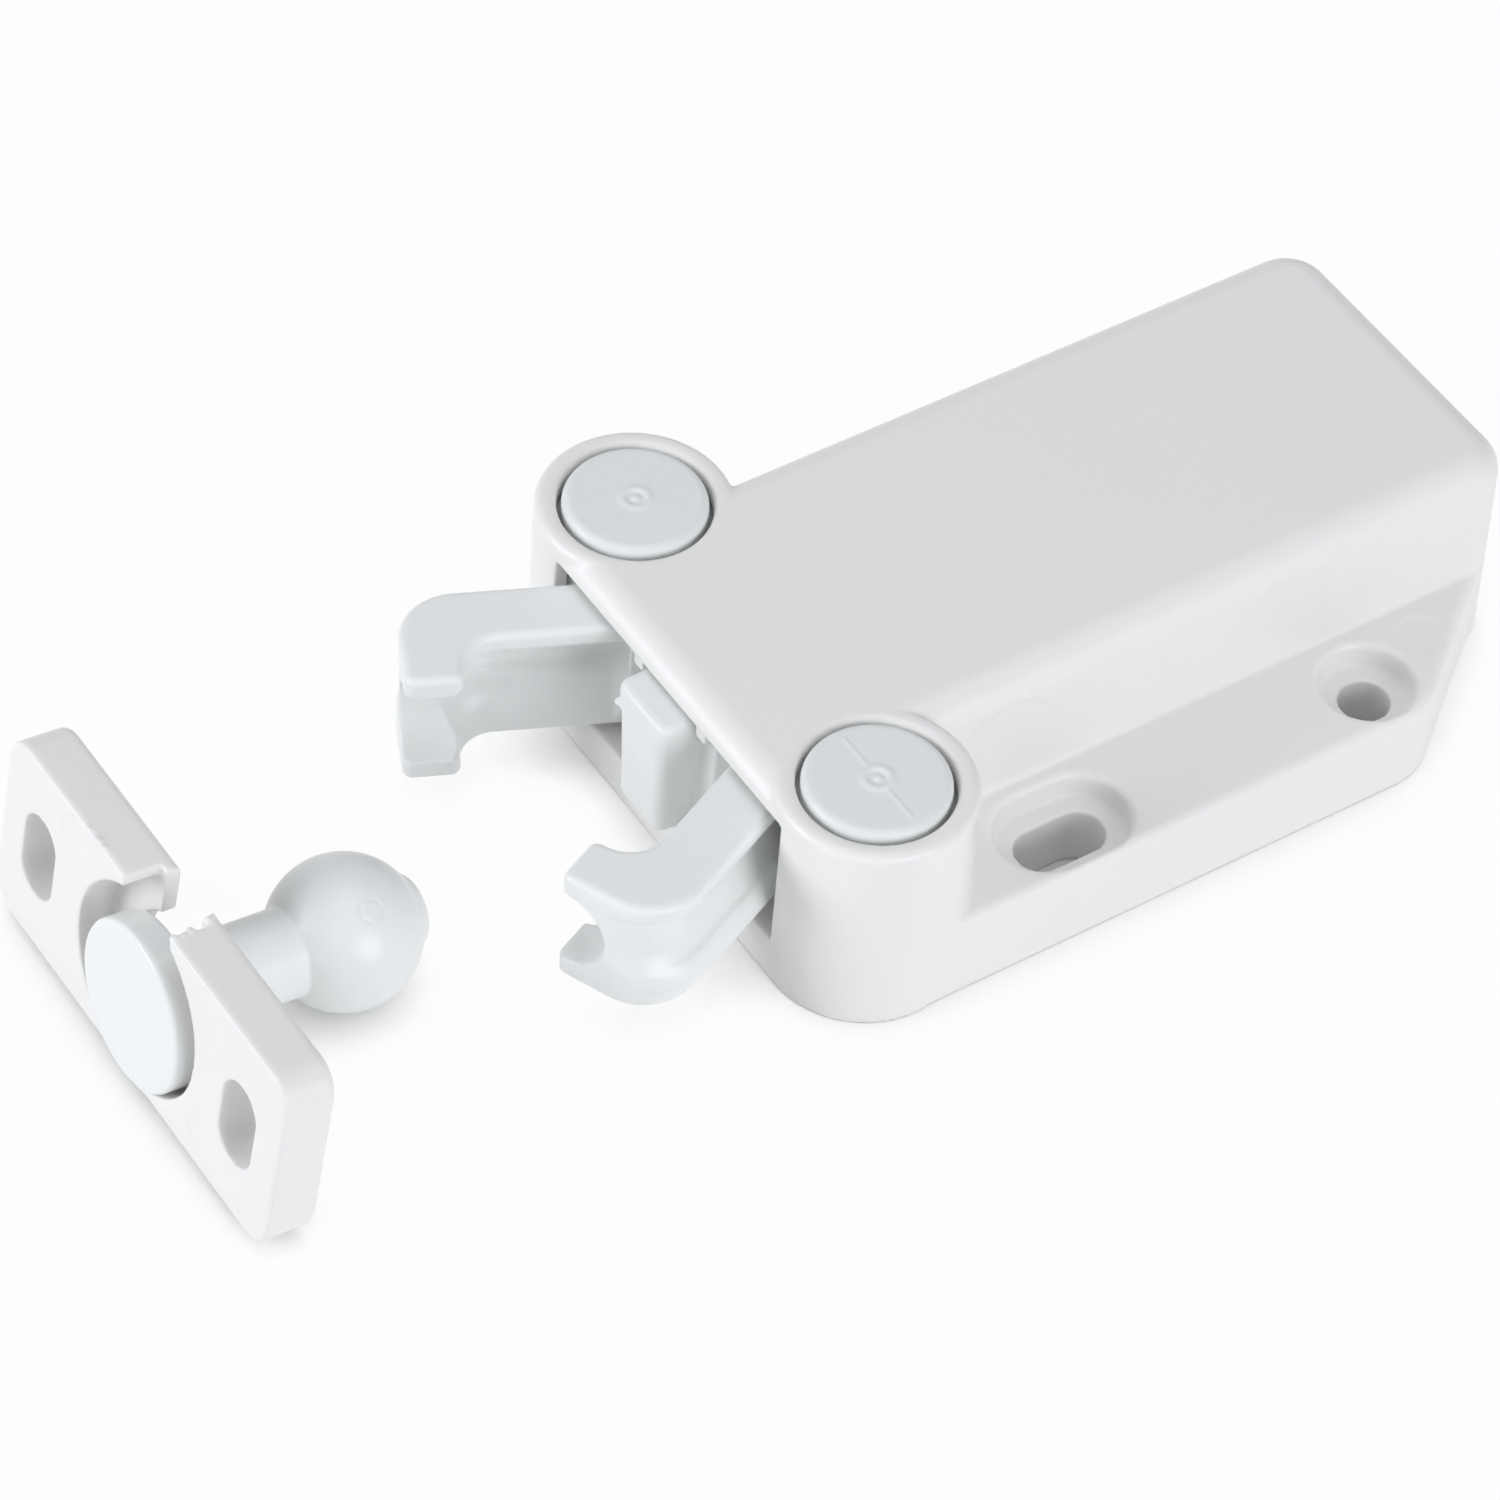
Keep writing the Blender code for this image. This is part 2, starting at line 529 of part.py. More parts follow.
def build_jaw(parts, helpers, side):
    """A hooked jaw, drawn as it stands when closed round the ball and then swung open about its pin."""
    name = "right_jaw" if side > 0 else "left_jaw"
    pivot = carrier(f"{name}_pivot", helpers, (side * PIVOT_X, 0, 0), (0, 0, side * JAW_OPEN))

    def plan(corners):
        return rounded([(-side * inward, -forward, radius) for inward, forward, radius in corners])

    root = -TAIL_HALF - SINK
    arm = prism(
        name,
        parts,
        plan([
            (ARM_OUTER, root, 0),
            (ARM_INNER, root, 0),
            (ARM_INNER, HOOK_BACK, CROOK_R),
            (TIP_REACH, HOOK_BACK, TIP_ROUND),
            (TIP_REACH, HOOK_FRONT, TIP_ROUND),
            (ARM_OUTER, HOOK_FRONT, HOOK_R),
        ]),
        JAW_LOW,
        JAW_HIGH,
        round_high=JAW_ROUND,
        round_low=JAW_ROUND,
    )
    arm.parent = pivot

    bore_r = PIN_SHANK_R + GAP
    hub_profile = [(HUB_R, SLIDER_HIGH), (HUB_R, SLIDER_LOW), (bore_r, SLIDER_LOW), (bore_r, SLIDER_HIGH)]
    hub = turned(f"{name}_hub", helpers, hub_profile, ring=True)
    hub.rotation_euler = (0, 0, ARC_STEP / 2)
    swing = math.pi - TAIL_SWEEP if side > 0 else TAIL_SWEEP
    flank = math.pi - math.asin(TAIL_HALF / TAIL_TIP_R)
    tail_plan = [(PIN_SHANK_R + PAST, -TAIL_HALF)]
    tail_plan += arc((TAIL_LENGTH, 0), TAIL_TIP_R, -flank, flank)
    tail_plan += [(PIN_SHANK_R + PAST, TAIL_HALF)]
    turn = Matrix.Rotation(swing, 2)
    tail_plan = [tuple(turn @ Vector(point)) for point in tail_plan]
    tail = prism(f"{name}_tail", helpers, tail_plan, TAIL_LOW, TAIL_HIGH)
    outside = ARM_OUTER - PAST
    relief = prism(
        f"{name}_relief",
        helpers,
        plan([
            (outside, root - PAST, 0),
            (ARM_OUTER + RELIEF_DEPTH, root - PAST, 0),
            (ARM_OUTER + RELIEF_DEPTH, RELIEF_LENGTH - RELIEF_FADE, RELIEF_FADE),
            (outside, RELIEF_LENGTH + PAST, 0),
        ]),
        RELIEF_LOW,
        JAW_HIGH - JAW_FLANGE,
    )
    middle = -side * PIVOT_X
    neck_way = [(middle, -HOOK_FRONT - PAST, JAW_MIDDLE), (middle, -HOOK_BACK + CROOK_R, JAW_MIDDLE)]
    channel = prism(
        f"{name}_channel",
        helpers,
        plan([
            (ARM_INNER - CHANNEL_DEPTH, CROOK_R / 2, CHANNEL_DEPTH),
            (ARM_INNER + PAST, CROOK_R / 2, 0),
            (ARM_INNER + PAST, HOOK_BACK - CROOK_R / 2, 0),
            (ARM_INNER - CHANNEL_DEPTH, HOOK_BACK - CROOK_R / 2, CHANNEL_DEPTH),
        ]),
        JAW_LOW + JAW_FLANGE,
        JAW_HIGH - JAW_FLANGE,
    )
    for vert in channel.data.vertices:
        inward = -side * vert.co.x
        if vert.co.z < JAW_MIDDLE and inward < ARM_INNER:
            slim = (ARM_INNER - inward) * CHANNEL_TOE / CHANNEL_DEPTH
            vert.co.x = -side * (ARM_INNER - slim)
    seat_bm = bmesh.new()
    bmesh.ops.create_uvsphere(
        seat_bm,
        u_segments=ROUND_SEGMENTS,
        v_segments=ROUND_SEGMENTS // 2,
        radius=BALL_R + GAP,
        matrix=Matrix.Translation((middle, -BALL_HELD, JAW_MIDDLE)),
    )
    seat = link_mesh(f"{name}_ball_seat", seat_bm, helpers)
    neck = cylinder(f"{name}_neck_way", helpers, STUD_NECK_R + GAP, *neck_way)
    combine(arm, [channel, seat, neck, relief], "DIFFERENCE")
    combine(arm, [tail, hub], "UNION")
    return arm


def track_cutter(helpers):
    """The heart-shaped track: a lane on each side of an island whose front edge is hollowed into a catch."""
    front = FOLLOWER_TIP_Y - TRAVEL
    ends = [Vector((0, FOLLOWER_TIP_Y)), Vector((-FOLLOWER_SWING, front)), Vector((FOLLOWER_SWING, front))]
    outline = []
    for index, here in enumerate(ends):
        before = here - ends[index - 1]
        after = ends[(index + 1) % len(ends)] - here
        start = math.atan2(before.y, before.x) - math.pi / 2
        turn = math.atan2(before.x * after.y - before.y * after.x, before.dot(after))
        outline += arc(here, TRACK_HALF, start, start + turn)
    track = prism("track", helpers, outline, SLIDER_LOW - PAST, SLIDER_LOW + TRACK_DEPTH)

    spread = math.atan2(FOLLOWER_SWING, TRAVEL)
    apex = FOLLOWER_TIP_Y - TRACK_HALF / math.sin(spread)
    catch = FOLLOWER_TIP_Y - LATCH_TRAVEL + TRACK_HALF
    half = (apex - catch) * math.tan(spread)
    corner = catch - OVERTRAVEL * half / FOLLOWER_SWING
    island_plan = [(0, apex), (-half, corner), (0, catch), (half, corner)]
    island = prism("track_island", helpers, island_plan, SLIDER_LOW - 2 * PAST, SLIDER_LOW + 2 * TRACK_DEPTH)
    combine(track, [island], "DIFFERENCE")
    return track


def build_plunger(parts, helpers):
    """The nose that the ball pushes, the notched neck that swings the jaw tails, and the guided slider."""
    notch = arc((NOTCH_X, TAIL_Y), NOTCH_R, -math.pi / 2, -3 * math.pi / 2)
    prong_rear = TAIL_Y - NOTCH_R
    flank = TAIL_Y + NOTCH_R
    half = [
        (NOSE_HALF / 2, prong_rear - PRONG_LENGTH - SINK),
        (PRONG_HALF, prong_rear - PRONG_LENGTH),
        (PRONG_HALF, prong_rear),
        *notch,
        (PRONG_HALF, flank),
        (NECK_HALF, flank + (NECK_HALF - PRONG_HALF) / 2),
        (NECK_HALF, SLIDER_FRONT + SINK),
    ]
    plunger = prism("plunger", parts, mirrored(half), NOSE_LOW + GAP, PARTING_Z + GAP)

    nose_rear = SLIDER_FRONT + 2 * SINK
    nose_plan = rounded([
        (NOSE_HALF, NOSE_FRONT, NOSE_CORNER_R),
        (NOSE_HALF, nose_rear, 0),
        (-NOSE_HALF, nose_rear, 0),
        (-NOSE_HALF, NOSE_FRONT, NOSE_CORNER_R),
    ])
    nose_top = prism("nose_top", helpers, nose_plan, PARTING_Z, SLIDER_HIGH, round_high=NOSE_ROUND)
    nose_join = prong_rear - PRONG_LENGTH / 2
    slim = NOSE_HALF - NOSE_DRAFT
    slim_front = NOSE_FRONT + NOSE_DRAFT
    nose_low = prism(
        "nose_low",
        helpers,
        rounded([
            (slim, slim_front, NOSE_CORNER_R),
            (slim, nose_join, 0),
            (-slim, nose_join, 0),
            (-slim, slim_front, NOSE_CORNER_R),
        ]),
        NOSE_LOW,
        PARTING_Z + SINK,
    )
    widen = NOSE_DRAFT - PARTING_STEP
    for vert in nose_low.data.vertices:
        if vert.co.z > PARTING_Z:
            vert.co.x *= (slim + widen) / slim
            if vert.co.y < nose_join - GAP:
                vert.co.y -= widen
    slider_plan = rounded([
        (SLIDER_HALF, SLIDER_FRONT, NOSE_ROUND),
        (SLIDER_HALF, SLIDER_REAR, NOSE_ROUND),
        (-SLIDER_HALF, SLIDER_REAR, NOSE_ROUND),
        (-SLIDER_HALF, SLIDER_FRONT, NOSE_ROUND),
    ])
    slider = prism("slider", helpers, slider_plan, SLIDER_LOW, SLIDER_HIGH - GAP)
    combine(plunger, [nose_top, nose_low, slider], "UNION")

    bore = [(0, SPRING_FRONT - GAP, SPRING_Z), (0, SLIDER_REAR + PAST, SPRING_Z)]
    cuts = [cylinder("spring_bore", helpers, SPRING_BORE_R, *bore)]
    for side in (-1, 1):
        inner = (SPRING_BORE_R + SLIDER_HALF - CORE_WIDTH) / 2
        across = sorted((side * inner, side * (inner + CORE_WIDTH)))
        core_low = (across[0], SLIDER_REAR - CORE_LENGTH, SPRING_Z - CORE_HEIGHT / 2)
        core_high = (across[1], SLIDER_REAR + PAST, SPRING_Z + CORE_HEIGHT / 2)
        cuts.append(box(f"slider_core_{side:+d}", helpers, core_low, core_high))
    combine(plunger, [*cuts, track_cutter(helpers)], "DIFFERENCE")
    return plunger


def build_spring(parts):
    """A compression spring along Y, wound as one tube with a closed turn at each end."""
    wire = 2 * SPRING_WIRE_R
    low = SPRING_FRONT + SPRING_WIRE_R
    high = SPRING_REAR - SPRING_WIRE_R
    end_pitch = wire + 2 * GAP
    open_pitch = (high - low - 2 * end_pitch) / (SPRING_TURNS - 2)
    points = []
    for step in range(SPRING_TURNS * POINTS_PER_TURN + 1):
        turn = step / POINTS_PER_TURN
        inner = min(max(turn - 1, 0), SPRING_TURNS - 2)
        ends = turn - inner
        y = low + ends * end_pitch + inner * open_pitch
        angle = 2 * math.pi * turn
        points.append((SPRING_COIL_R * math.cos(angle), y, SPRING_Z + SPRING_COIL_R * math.sin(angle)))
    far = POINTS_PER_TURN // 2
    pairs = ((a, b) for i, a in enumerate(points) for b in points[i + far:])
    least = min(math.dist(a, b) for a, b in pairs) - wire
    print(f"main_spring: least gap to itself {least / MM:.2f} mm")
    return tube("main_spring", parts, points, SPRING_WIRE_R)


def build_follower(parts):
    """A bent wire: one leg turns in the cover, the other stands up into the plunger's track."""
    bend = FOLLOWER_BEND_R
    foot = (FOLLOWER_PIVOT_Y, COVER_RECESS + GAP)
    tip = (FOLLOWER_TIP_Y, SLIDER_LOW + TRACK_DEPTH - GAP)
    quarter = math.pi / 2
    path = [foot]
    path += arc((FOLLOWER_PIVOT_Y - bend, FOLLOWER_Z - bend), bend, 0, quarter)
    path += arc((FOLLOWER_TIP_Y + bend, FOLLOWER_Z + bend), bend, 3 * quarter, 2 * quarter)
    path += [tip]
    points = [(0, y - FOLLOWER_PIVOT_Y, z) for y, z in path]
    follower = tube("cam_follower", parts, points, FOLLOWER_WIRE_R)
    follower.location = (0, FOLLOWER_PIVOT_Y, 0)
    return follower


def tube(name, collection, points, radius):
    curve = bpy.data.curves.new(name, "CURVE")
    curve.dimensions = "3D"
    curve.bevel_depth = radius
    curve.bevel_resolution = 1
    curve.use_fill_caps = True
    spline = curve.splines.new("POLY")
    spline.points.add(len(points) - 1)
    for control, point in zip(spline.points, points):
        control.co = (*point, 1.0)
    obj = bpy.data.objects.new(name, curve)
    collection.objects.link(obj)
    return obj


def upright(name, collection, outline, front, back, round_front=0.0):
    """An outline in the plate's own plane, made solid between two distances behind the ball."""
    obj = prism(name, collection, outline, front, back, round_low=round_front)
    obj.data.transform(Matrix.Rotation(math.pi / 2, 4, "X"))
    return obj


def plate_outline():
    """Front view of the plate about the stud's axis, with a bulge under the pocket."""
    half = PLATE_LENGTH / 2
    touch = math.asin((PLATE_BELOW + POCKET_RISE) / BULGE_R)
    bulge = arc((0, POCKET_RISE), BULGE_R, touch - math.pi, -touch)
    corners = [
        (half, -PLATE_BELOW, PLATE_CORNER_R),
        (half, PLATE_ABOVE, PLATE_CORNER_R),
        (-half, PLATE_ABOVE, PLATE_CORNER_R),
        (-half, -PLATE_BELOW, PLATE_CORNER_R),
    ]
    return bulge + rounded(corners)


def keyhole(radius, half):
    """A round hole about the pocket's centre with a straight way out through the top edge."""
    edge = math.asin(half / radius)
    top = PLATE_ABOVE + PAST
    hole = arc((0, POCKET_RISE), radius, math.pi / 2 + edge, 5 * math.pi / 2 - edge)
    return hole + [(half, top), (-half, top)]


def build_strike_plate(parts, helpers, rest):
    plate = upright("strike_plate", parts, plate_outline(), PLATE_FRONT, PLATE_BACK, round_front=PLATE_ROUND)
    plate.parent = rest
    wall = PLATE_FRONT + PLATE_FRONT_WALL
    neck_r = STUD_NECK_R + POCKET_R - DISC_R
    pocket = keyhole(POCKET_R, SNAP_BACK_HALF)
    neck_way = keyhole(neck_r, SNAP_FRONT_HALF)
    cuts = [
        upright("stud_pocket", helpers, pocket, wall, PLATE_BACK + PAST),
        upright("neck_way", helpers, neck_way, PLATE_FRONT - PAST, wall + SINK),
    ]
    hole_z = (PLATE_ABOVE - PLATE_BELOW) / 2
    for side in (-1, 1):
        hole = slot_outline((side * PLATE_HOLE_SPACING / 2, hole_z), PLATE_HOLE_R, PLATE_HOLE_RUN)
        cuts.append(upright(f"plate_hole_{side:+d}", helpers, hole, PLATE_FRONT - PAST, PLATE_BACK + PAST))
    combine(plate, cuts, "DIFFERENCE")
    return plate


def build_ball_stud(parts, rest):
    """Disc, neck and ball in one turned piece; heights run from the disc at the back to the ball in front."""
    edge = math.acos(BALL_TIP_R / BALL_R)
    join = math.asin(STUD_NECK_R / BALL_R) - math.pi / 2
    disc_front = DISC_THICKNESS - DISC_BACK
    corner = DISC_R - DISC_ROUND
    tip_round = (BALL_TIP_R - DISC_ROUND, BALL_R - DISC_ROUND)
    neck_round = (STUD_NECK_R + STUD_NECK_FILLET, disc_front + STUD_NECK_FILLET)
    quarter = math.pi / 2
    profile = [(0, BALL_R), *arc(tip_round, DISC_ROUND, quarter, 0, 2)]
    profile += arc((0, 0), BALL_R, edge, join)
    profile += arc(neck_round, STUD_NECK_FILLET, 2 * quarter, 3 * quarter, 2)
    profile += arc((corner, disc_front - DISC_ROUND), DISC_ROUND, quarter, 0, 2)
    profile += arc((corner, DISC_ROUND - DISC_BACK), DISC_ROUND, 0, -quarter, 2)
    profile += [(0, -DISC_BACK)]
    stud = turned("ball_stud", parts, profile)
    stud.parent = rest
    stud.location = (STUD_ASIDE, 0, 0)
    stud.rotation_euler = (-math.pi / 2, 0, 0)
    return stud


def main():
    clear_scene()
    parts = new_collection("touch_latch")
    helpers = new_collection("touch_latch_helpers")
    strike_rest = carrier("strike_rest", helpers, (0, BALL_Y, BALL_R), (-LEAN, 0, 0))
    finishes = [
        (build_housing(parts, helpers), HOUSING_WHITE),
        (build_base_cover(parts, helpers), HOUSING_WHITE),
        (build_plunger(parts, helpers), JAW_WHITE),
        (build_spring(parts), SPRING_STEEL),
        (build_follower(parts), SPRING_STEEL),
        (build_strike_plate(parts, helpers, strike_rest), STRIKE_WHITE),
        (build_ball_stud(parts, strike_rest), JAW_WHITE),
    ]
    for side in (-1, 1):
        finishes.append((build_pin(parts, side), PIN_WHITE))
        finishes.append((build_jaw(parts, helpers, side), JAW_WHITE))
    for piece, finish in finishes:
        piece.data.materials.append(finish_material(f"{piece.name}_finish", finish))


main()
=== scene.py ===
# Touch latch with its loose ball-stud strike, dressed for a studio view
import math

import bmesh
import bpy
from mathutils import Matrix, Vector


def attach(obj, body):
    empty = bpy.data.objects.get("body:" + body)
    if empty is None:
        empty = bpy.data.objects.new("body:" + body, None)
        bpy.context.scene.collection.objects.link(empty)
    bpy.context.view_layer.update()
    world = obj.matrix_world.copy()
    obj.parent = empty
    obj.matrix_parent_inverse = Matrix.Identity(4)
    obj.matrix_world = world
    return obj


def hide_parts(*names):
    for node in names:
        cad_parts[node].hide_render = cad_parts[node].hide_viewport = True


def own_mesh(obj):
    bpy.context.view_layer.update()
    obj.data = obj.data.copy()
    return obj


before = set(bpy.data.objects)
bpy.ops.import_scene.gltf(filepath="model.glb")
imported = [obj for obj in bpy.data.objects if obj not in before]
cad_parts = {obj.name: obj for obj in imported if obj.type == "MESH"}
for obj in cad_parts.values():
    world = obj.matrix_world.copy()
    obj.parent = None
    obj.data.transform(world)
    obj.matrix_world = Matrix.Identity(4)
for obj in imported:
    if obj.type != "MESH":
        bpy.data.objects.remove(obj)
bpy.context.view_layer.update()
scene = bpy.context.scene
print("frame loaded with", len(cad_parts), "nodes")

# Sizes are in millimetres and a finished mesh is brought to metres when it is kept
gap = 0.3
pivotX = 14.3
ballR = 5.2
springZ = 9.2
past = 1  # how far a cutter runs out past a face
sunk = 0.5  # how deep an added shape sits in what carries it
quarter = math.pi / 2
loose = []  # helper shapes of the piece being made


# Shapes

def arcPoints(centre, radius, start, stop, steps=None):
    steps = steps or max(3, round(abs(stop - start) / math.radians(5)))
    angles = [start + (stop - start) * i / steps for i in range(steps + 1)]
    return [(centre[0] + radius * math.cos(a), centre[1] + radius * math.sin(a)) for a in angles]


def softCorners(corners, steps=12):
    points = []
    for index, (x, y, radius) in enumerate(corners):
        here = Vector((x, y))
        if not radius:
            points.append((x, y))
            continue
        before = (Vector(corners[index - 1][:2]) - here).normalized()
        after = (Vector(corners[(index + 1) % len(corners)][:2]) - here).normalized()
        half = before.angle(after) / 2
        centre = here + (before + after).normalized() * (radius / math.sin(half))
        first = here + before * (radius / math.tan(half)) - centre
        last = here + after * (radius / math.tan(half)) - centre
        start = math.atan2(first.y, first.x)
        turn = math.atan2(first.x * last.y - first.y * last.x, first.dot(last))
        points += arcPoints(centre, radius, start, start + turn, steps)
    return points


def bothSides(half):
    return half + [(-x, y) for x, y in reversed(half)]


def slotOutline(x, y, radius, run):
    ends = arcPoints((x, y + run / 2), radius, 0, math.pi)
    ends += arcPoints((x, y - run / 2), radius, math.pi, 2 * math.pi)
    return [p for i, p in enumerate(ends) if math.dist(p, ends[i - 1]) > 1e-4]


def keepShape(name, bm):
    bmesh.ops.remove_doubles(bm, verts=bm.verts[:], dist=1e-4)
    bmesh.ops.recalc_face_normals(bm, faces=bm.faces[:])
    if bm.calc_volume(signed=True) < 0:
        bmesh.ops.reverse_faces(bm, faces=bm.faces[:])
    mesh = bpy.data.meshes.new(name)
    bm.to_mesh(mesh)
    bm.free()
    obj = bpy.data.objects.new(name, mesh)
    scene.collection.objects.link(obj)
    loose.append(obj)
    return obj


def slab(name, outline, low, high, roundHigh=0.0, roundLow=0.0):
    bm = bmesh.new()
    base = bm.faces.new([bm.verts.new((x, y, low)) for x, y in outline])
    raised = bmesh.ops.extrude_face_region(bm, geom=[base])["geom"]
    lifted = [item for item in raised if isinstance(item, bmesh.types.BMVert)]
    bmesh.ops.translate(bm, vec=(0, 0, high - low), verts=lifted)
    for level, radius in ((high, roundHigh), (low, roundLow)):
        rim = [e for e in bm.edges if all(abs(v.co.z - level) < 1e-4 for v in e.verts)]
        if radius:
            bmesh.ops.bevel(bm, geom=rim, offset=radius, segments=6, profile=0.5, affect="EDGES", material=-1)
    return keepShape(name, bm)


def loft(name, levels):  # closed outlines with the same number of points, one above the other
    bm = bmesh.new()
    rings = []
    for outline, height in levels:
        verts = [bm.verts.new((x, y, height)) for x, y in outline]
        rings.append([bm.edges.new((verts[i - 1], v)) for i, v in enumerate(verts)])
    for lower, upper in zip(rings, rings[1:]):
        bmesh.ops.bridge_loops(bm, edges=lower + upper)
    bmesh.ops.holes_fill(bm, edges=bm.edges[:])
    return keepShape(name, bm)


def lathe(name, profile, place=Matrix(), closed=False, steps=128):
    bm = bmesh.new()
    verts = [bm.verts.new((r, 0, z)) for r, z in profile]
    follow = verts[1:] + verts[:1] if closed else verts[1:]
    edges = [bm.edges.new(pair) for pair in zip(verts, follow)]
    bmesh.ops.spin(
        bm, geom=verts + edges, cent=(0, 0, 0), axis=(0, 0, 1), angle=2 * math.pi, steps=steps,
        use_merge=True)
    bmesh.ops.transform(bm, matrix=place, verts=bm.verts[:])
    return keepShape(name, bm)


def block(name, low, high):
    bm = bmesh.new()
    bmesh.ops.create_cube(bm, size=1.0)
    bmesh.ops.scale(bm, vec=[b - a for a, b in zip(low, high)], verts=bm.verts[:])
    bmesh.ops.translate(bm, vec=[(a + b) / 2 for a, b in zip(low, high)], verts=bm.verts[:])
    return keepShape(name, bm)


def sphere(name, centre, radius, flat=1):
    place = Matrix.Translation(centre) @ Matrix.Diagonal((1, 1, flat, 1))
    bm = bmesh.new()
    bmesh.ops.create_uvsphere(bm, u_segments=96, v_segments=48, radius=radius, matrix=place)
    return keepShape(name, bm)


def bead(name, centre, radius):
    bm = bmesh.new()
    bmesh.ops.create_icosphere(bm, subdivisions=3, radius=radius, matrix=Matrix.Translation(centre))
    return keepShape(name, bm)


def bar(name, radius, start, stop):
    along = Vector(stop) - Vector(start)
    place = Matrix.Translation(Vector(start) + along / 2) @ along.to_track_quat("Z", "Y").to_matrix().to_4x4()
    bm = bmesh.new()
    bmesh.ops.create_cone(
        bm, cap_ends=True, segments=96, radius1=radius, radius2=radius, depth=along.length, matrix=place)
    return keepShape(name, bm)


# Shallow round print left by one of the mould's push-out pins
def pinPrint(centre, outward, radius, depth=0.07):
    out = Vector(outward).normalized()
    return bar("pin print", radius, Vector(centre) - depth * out, Vector(centre) + sunk * out)


def merge(piece, tools, way):
    for tool in tools:
        step = piece.modifiers.new(tool.name, "BOOLEAN")
        step.operation = way
        step.object = tool
        tool.hide_render = True


def bake(piece):
    graph = bpy.context.evaluated_depsgraph_get()
    mesh = bpy.data.meshes.new_from_object(piece.evaluated_get(graph))
    piece.modifiers.clear()
    piece.data = mesh


def finishPiece(
        piece, material, node, body, skin=0.0, passes=0, most=170000, place=Matrix(),
        kind="moulding"):
    piece.name = node + "_" + kind
    if piece.modifiers:
        bake(piece)
    if skin:  # one continuous moulded skin whose edges are all a little soft
        step = piece.modifiers.new("skin", "REMESH")
        step.mode = "VOXEL"
        step.voxel_size = skin
        step = piece.modifiers.new("soften", "SMOOTH")
        step.factor = 0.5
        step.iterations = passes
        bake(piece)
        triangles = 2 * len(piece.data.polygons)
        if triangles > most:
            step = piece.modifiers.new("thin", "DECIMATE")
            step.ratio = most / triangles
            bake(piece)
    loose.remove(piece)
    for tool in loose:
        bpy.data.objects.remove(tool)
    loose.clear()
    piece.data.transform(Matrix.Scale(0.001, 4) @ place)
    piece.data.shade_smooth()
    if not skin:
        piece.data.set_sharp_from_angle(angle=math.radians(40))
    piece.data.materials.clear()
    piece.data.materials.append(material)
    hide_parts(node)
    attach(piece, body)
    print(node, len(piece.data.polygons), "faces")
    return piece


# Materials

def plastic(name, tone, shade, rough, grain=0.00001):
    material = bpy.data.materials.new(name)
    material.use_nodes = True
    nodes = material.node_tree.nodes
    link = material.node_tree.links.new
    shader = nodes["Principled BSDF"]
    coord = nodes.new("ShaderNodeTexCoord")

    cloud = nodes.new("ShaderNodeTexNoise")
    cloud.inputs["Scale"].default_value = 110
    cloud.inputs["Detail"].default_value = 3
    link(coord.outputs["Object"], cloud.inputs["Vector"])
    blend = nodes.new("ShaderNodeMix")
    blend.data_type = "RGBA"
    blend.inputs["A"].default_value = (*tone, 1)
    blend.inputs["B"].default_value = (*shade, 1)
    link(cloud.outputs["Fac"], blend.inputs["Factor"])
    link(blend.outputs["Result"], shader.inputs["Base Color"])

    smear = nodes.new("ShaderNodeTexNoise")
    smear.inputs["Scale"].default_value = 160
    smear.inputs["Detail"].default_value = 2
    link(coord.outputs["Object"], smear.inputs["Vector"])
    spread = nodes.new("ShaderNodeMapRange")
    spread.inputs["From Min"].default_value = 0.3
    spread.inputs["From Max"].default_value = 0.7
    spread.inputs["To Min"].default_value = rough - 0.02
    spread.inputs["To Max"].default_value = rough + 0.04
    link(smear.outputs["Fac"], spread.inputs["Value"])
    link(spread.outputs["Result"], shader.inputs["Roughness"])

    fine = nodes.new("ShaderNodeTexNoise")
    fine.inputs["Scale"].default_value = 2600
    fine.inputs["Detail"].default_value = 2
    link(coord.outputs["Object"], fine.inputs["Vector"])
    bump = nodes.new("ShaderNodeBump")
    bump.inputs["Strength"].default_value = 0.6
    bump.inputs["Distance"].default_value = grain
    link(fine.outputs["Fac"], bump.inputs["Height"])
    link(bump.outputs["Normal"], shader.inputs["Normal"])
    shader.inputs["IOR"].default_value = 1.46
    shader.inputs["Subsurface Weight"].default_value = 0.08
    shader.inputs["Subsurface Radius"].default_value = (0.0012, 0.0010, 0.0008)
    shader.inputs["Subsurface Scale"].default_value = 1.0
    return material


def wireSteel(name):
    material = bpy.data.materials.new(name)
    material.use_nodes = True
    nodes = material.node_tree.nodes
    link = material.node_tree.links.new
    shader = nodes["Principled BSDF"]
    shader.inputs["Metallic"].default_value = 1.0
    coord = nodes.new("ShaderNodeTexCoord")
    drawn = nodes.new("ShaderNodeTexNoise")
    drawn.inputs["Scale"].default_value = 1800
    drawn.inputs["Detail"].default_value = 3
    link(coord.outputs["Object"], drawn.inputs["Vector"])
    tone = nodes.new("ShaderNodeMix")
    tone.data_type = "RGBA"
    tone.inputs["A"].default_value = (0.62, 0.62, 0.64, 1)
    tone.inputs["B"].default_value = (0.42, 0.42, 0.44, 1)
    link(drawn.outputs["Fac"], tone.inputs["Factor"])
    link(tone.outputs["Result"], shader.inputs["Base Color"])
    spread = nodes.new("ShaderNodeMapRange")
    spread.inputs["To Min"].default_value = 0.18
    spread.inputs["To Max"].default_value = 0.40
    link(drawn.outputs["Fac"], spread.inputs["Value"])
    link(spread.outputs["Result"], shader.inputs["Roughness"])
    return material


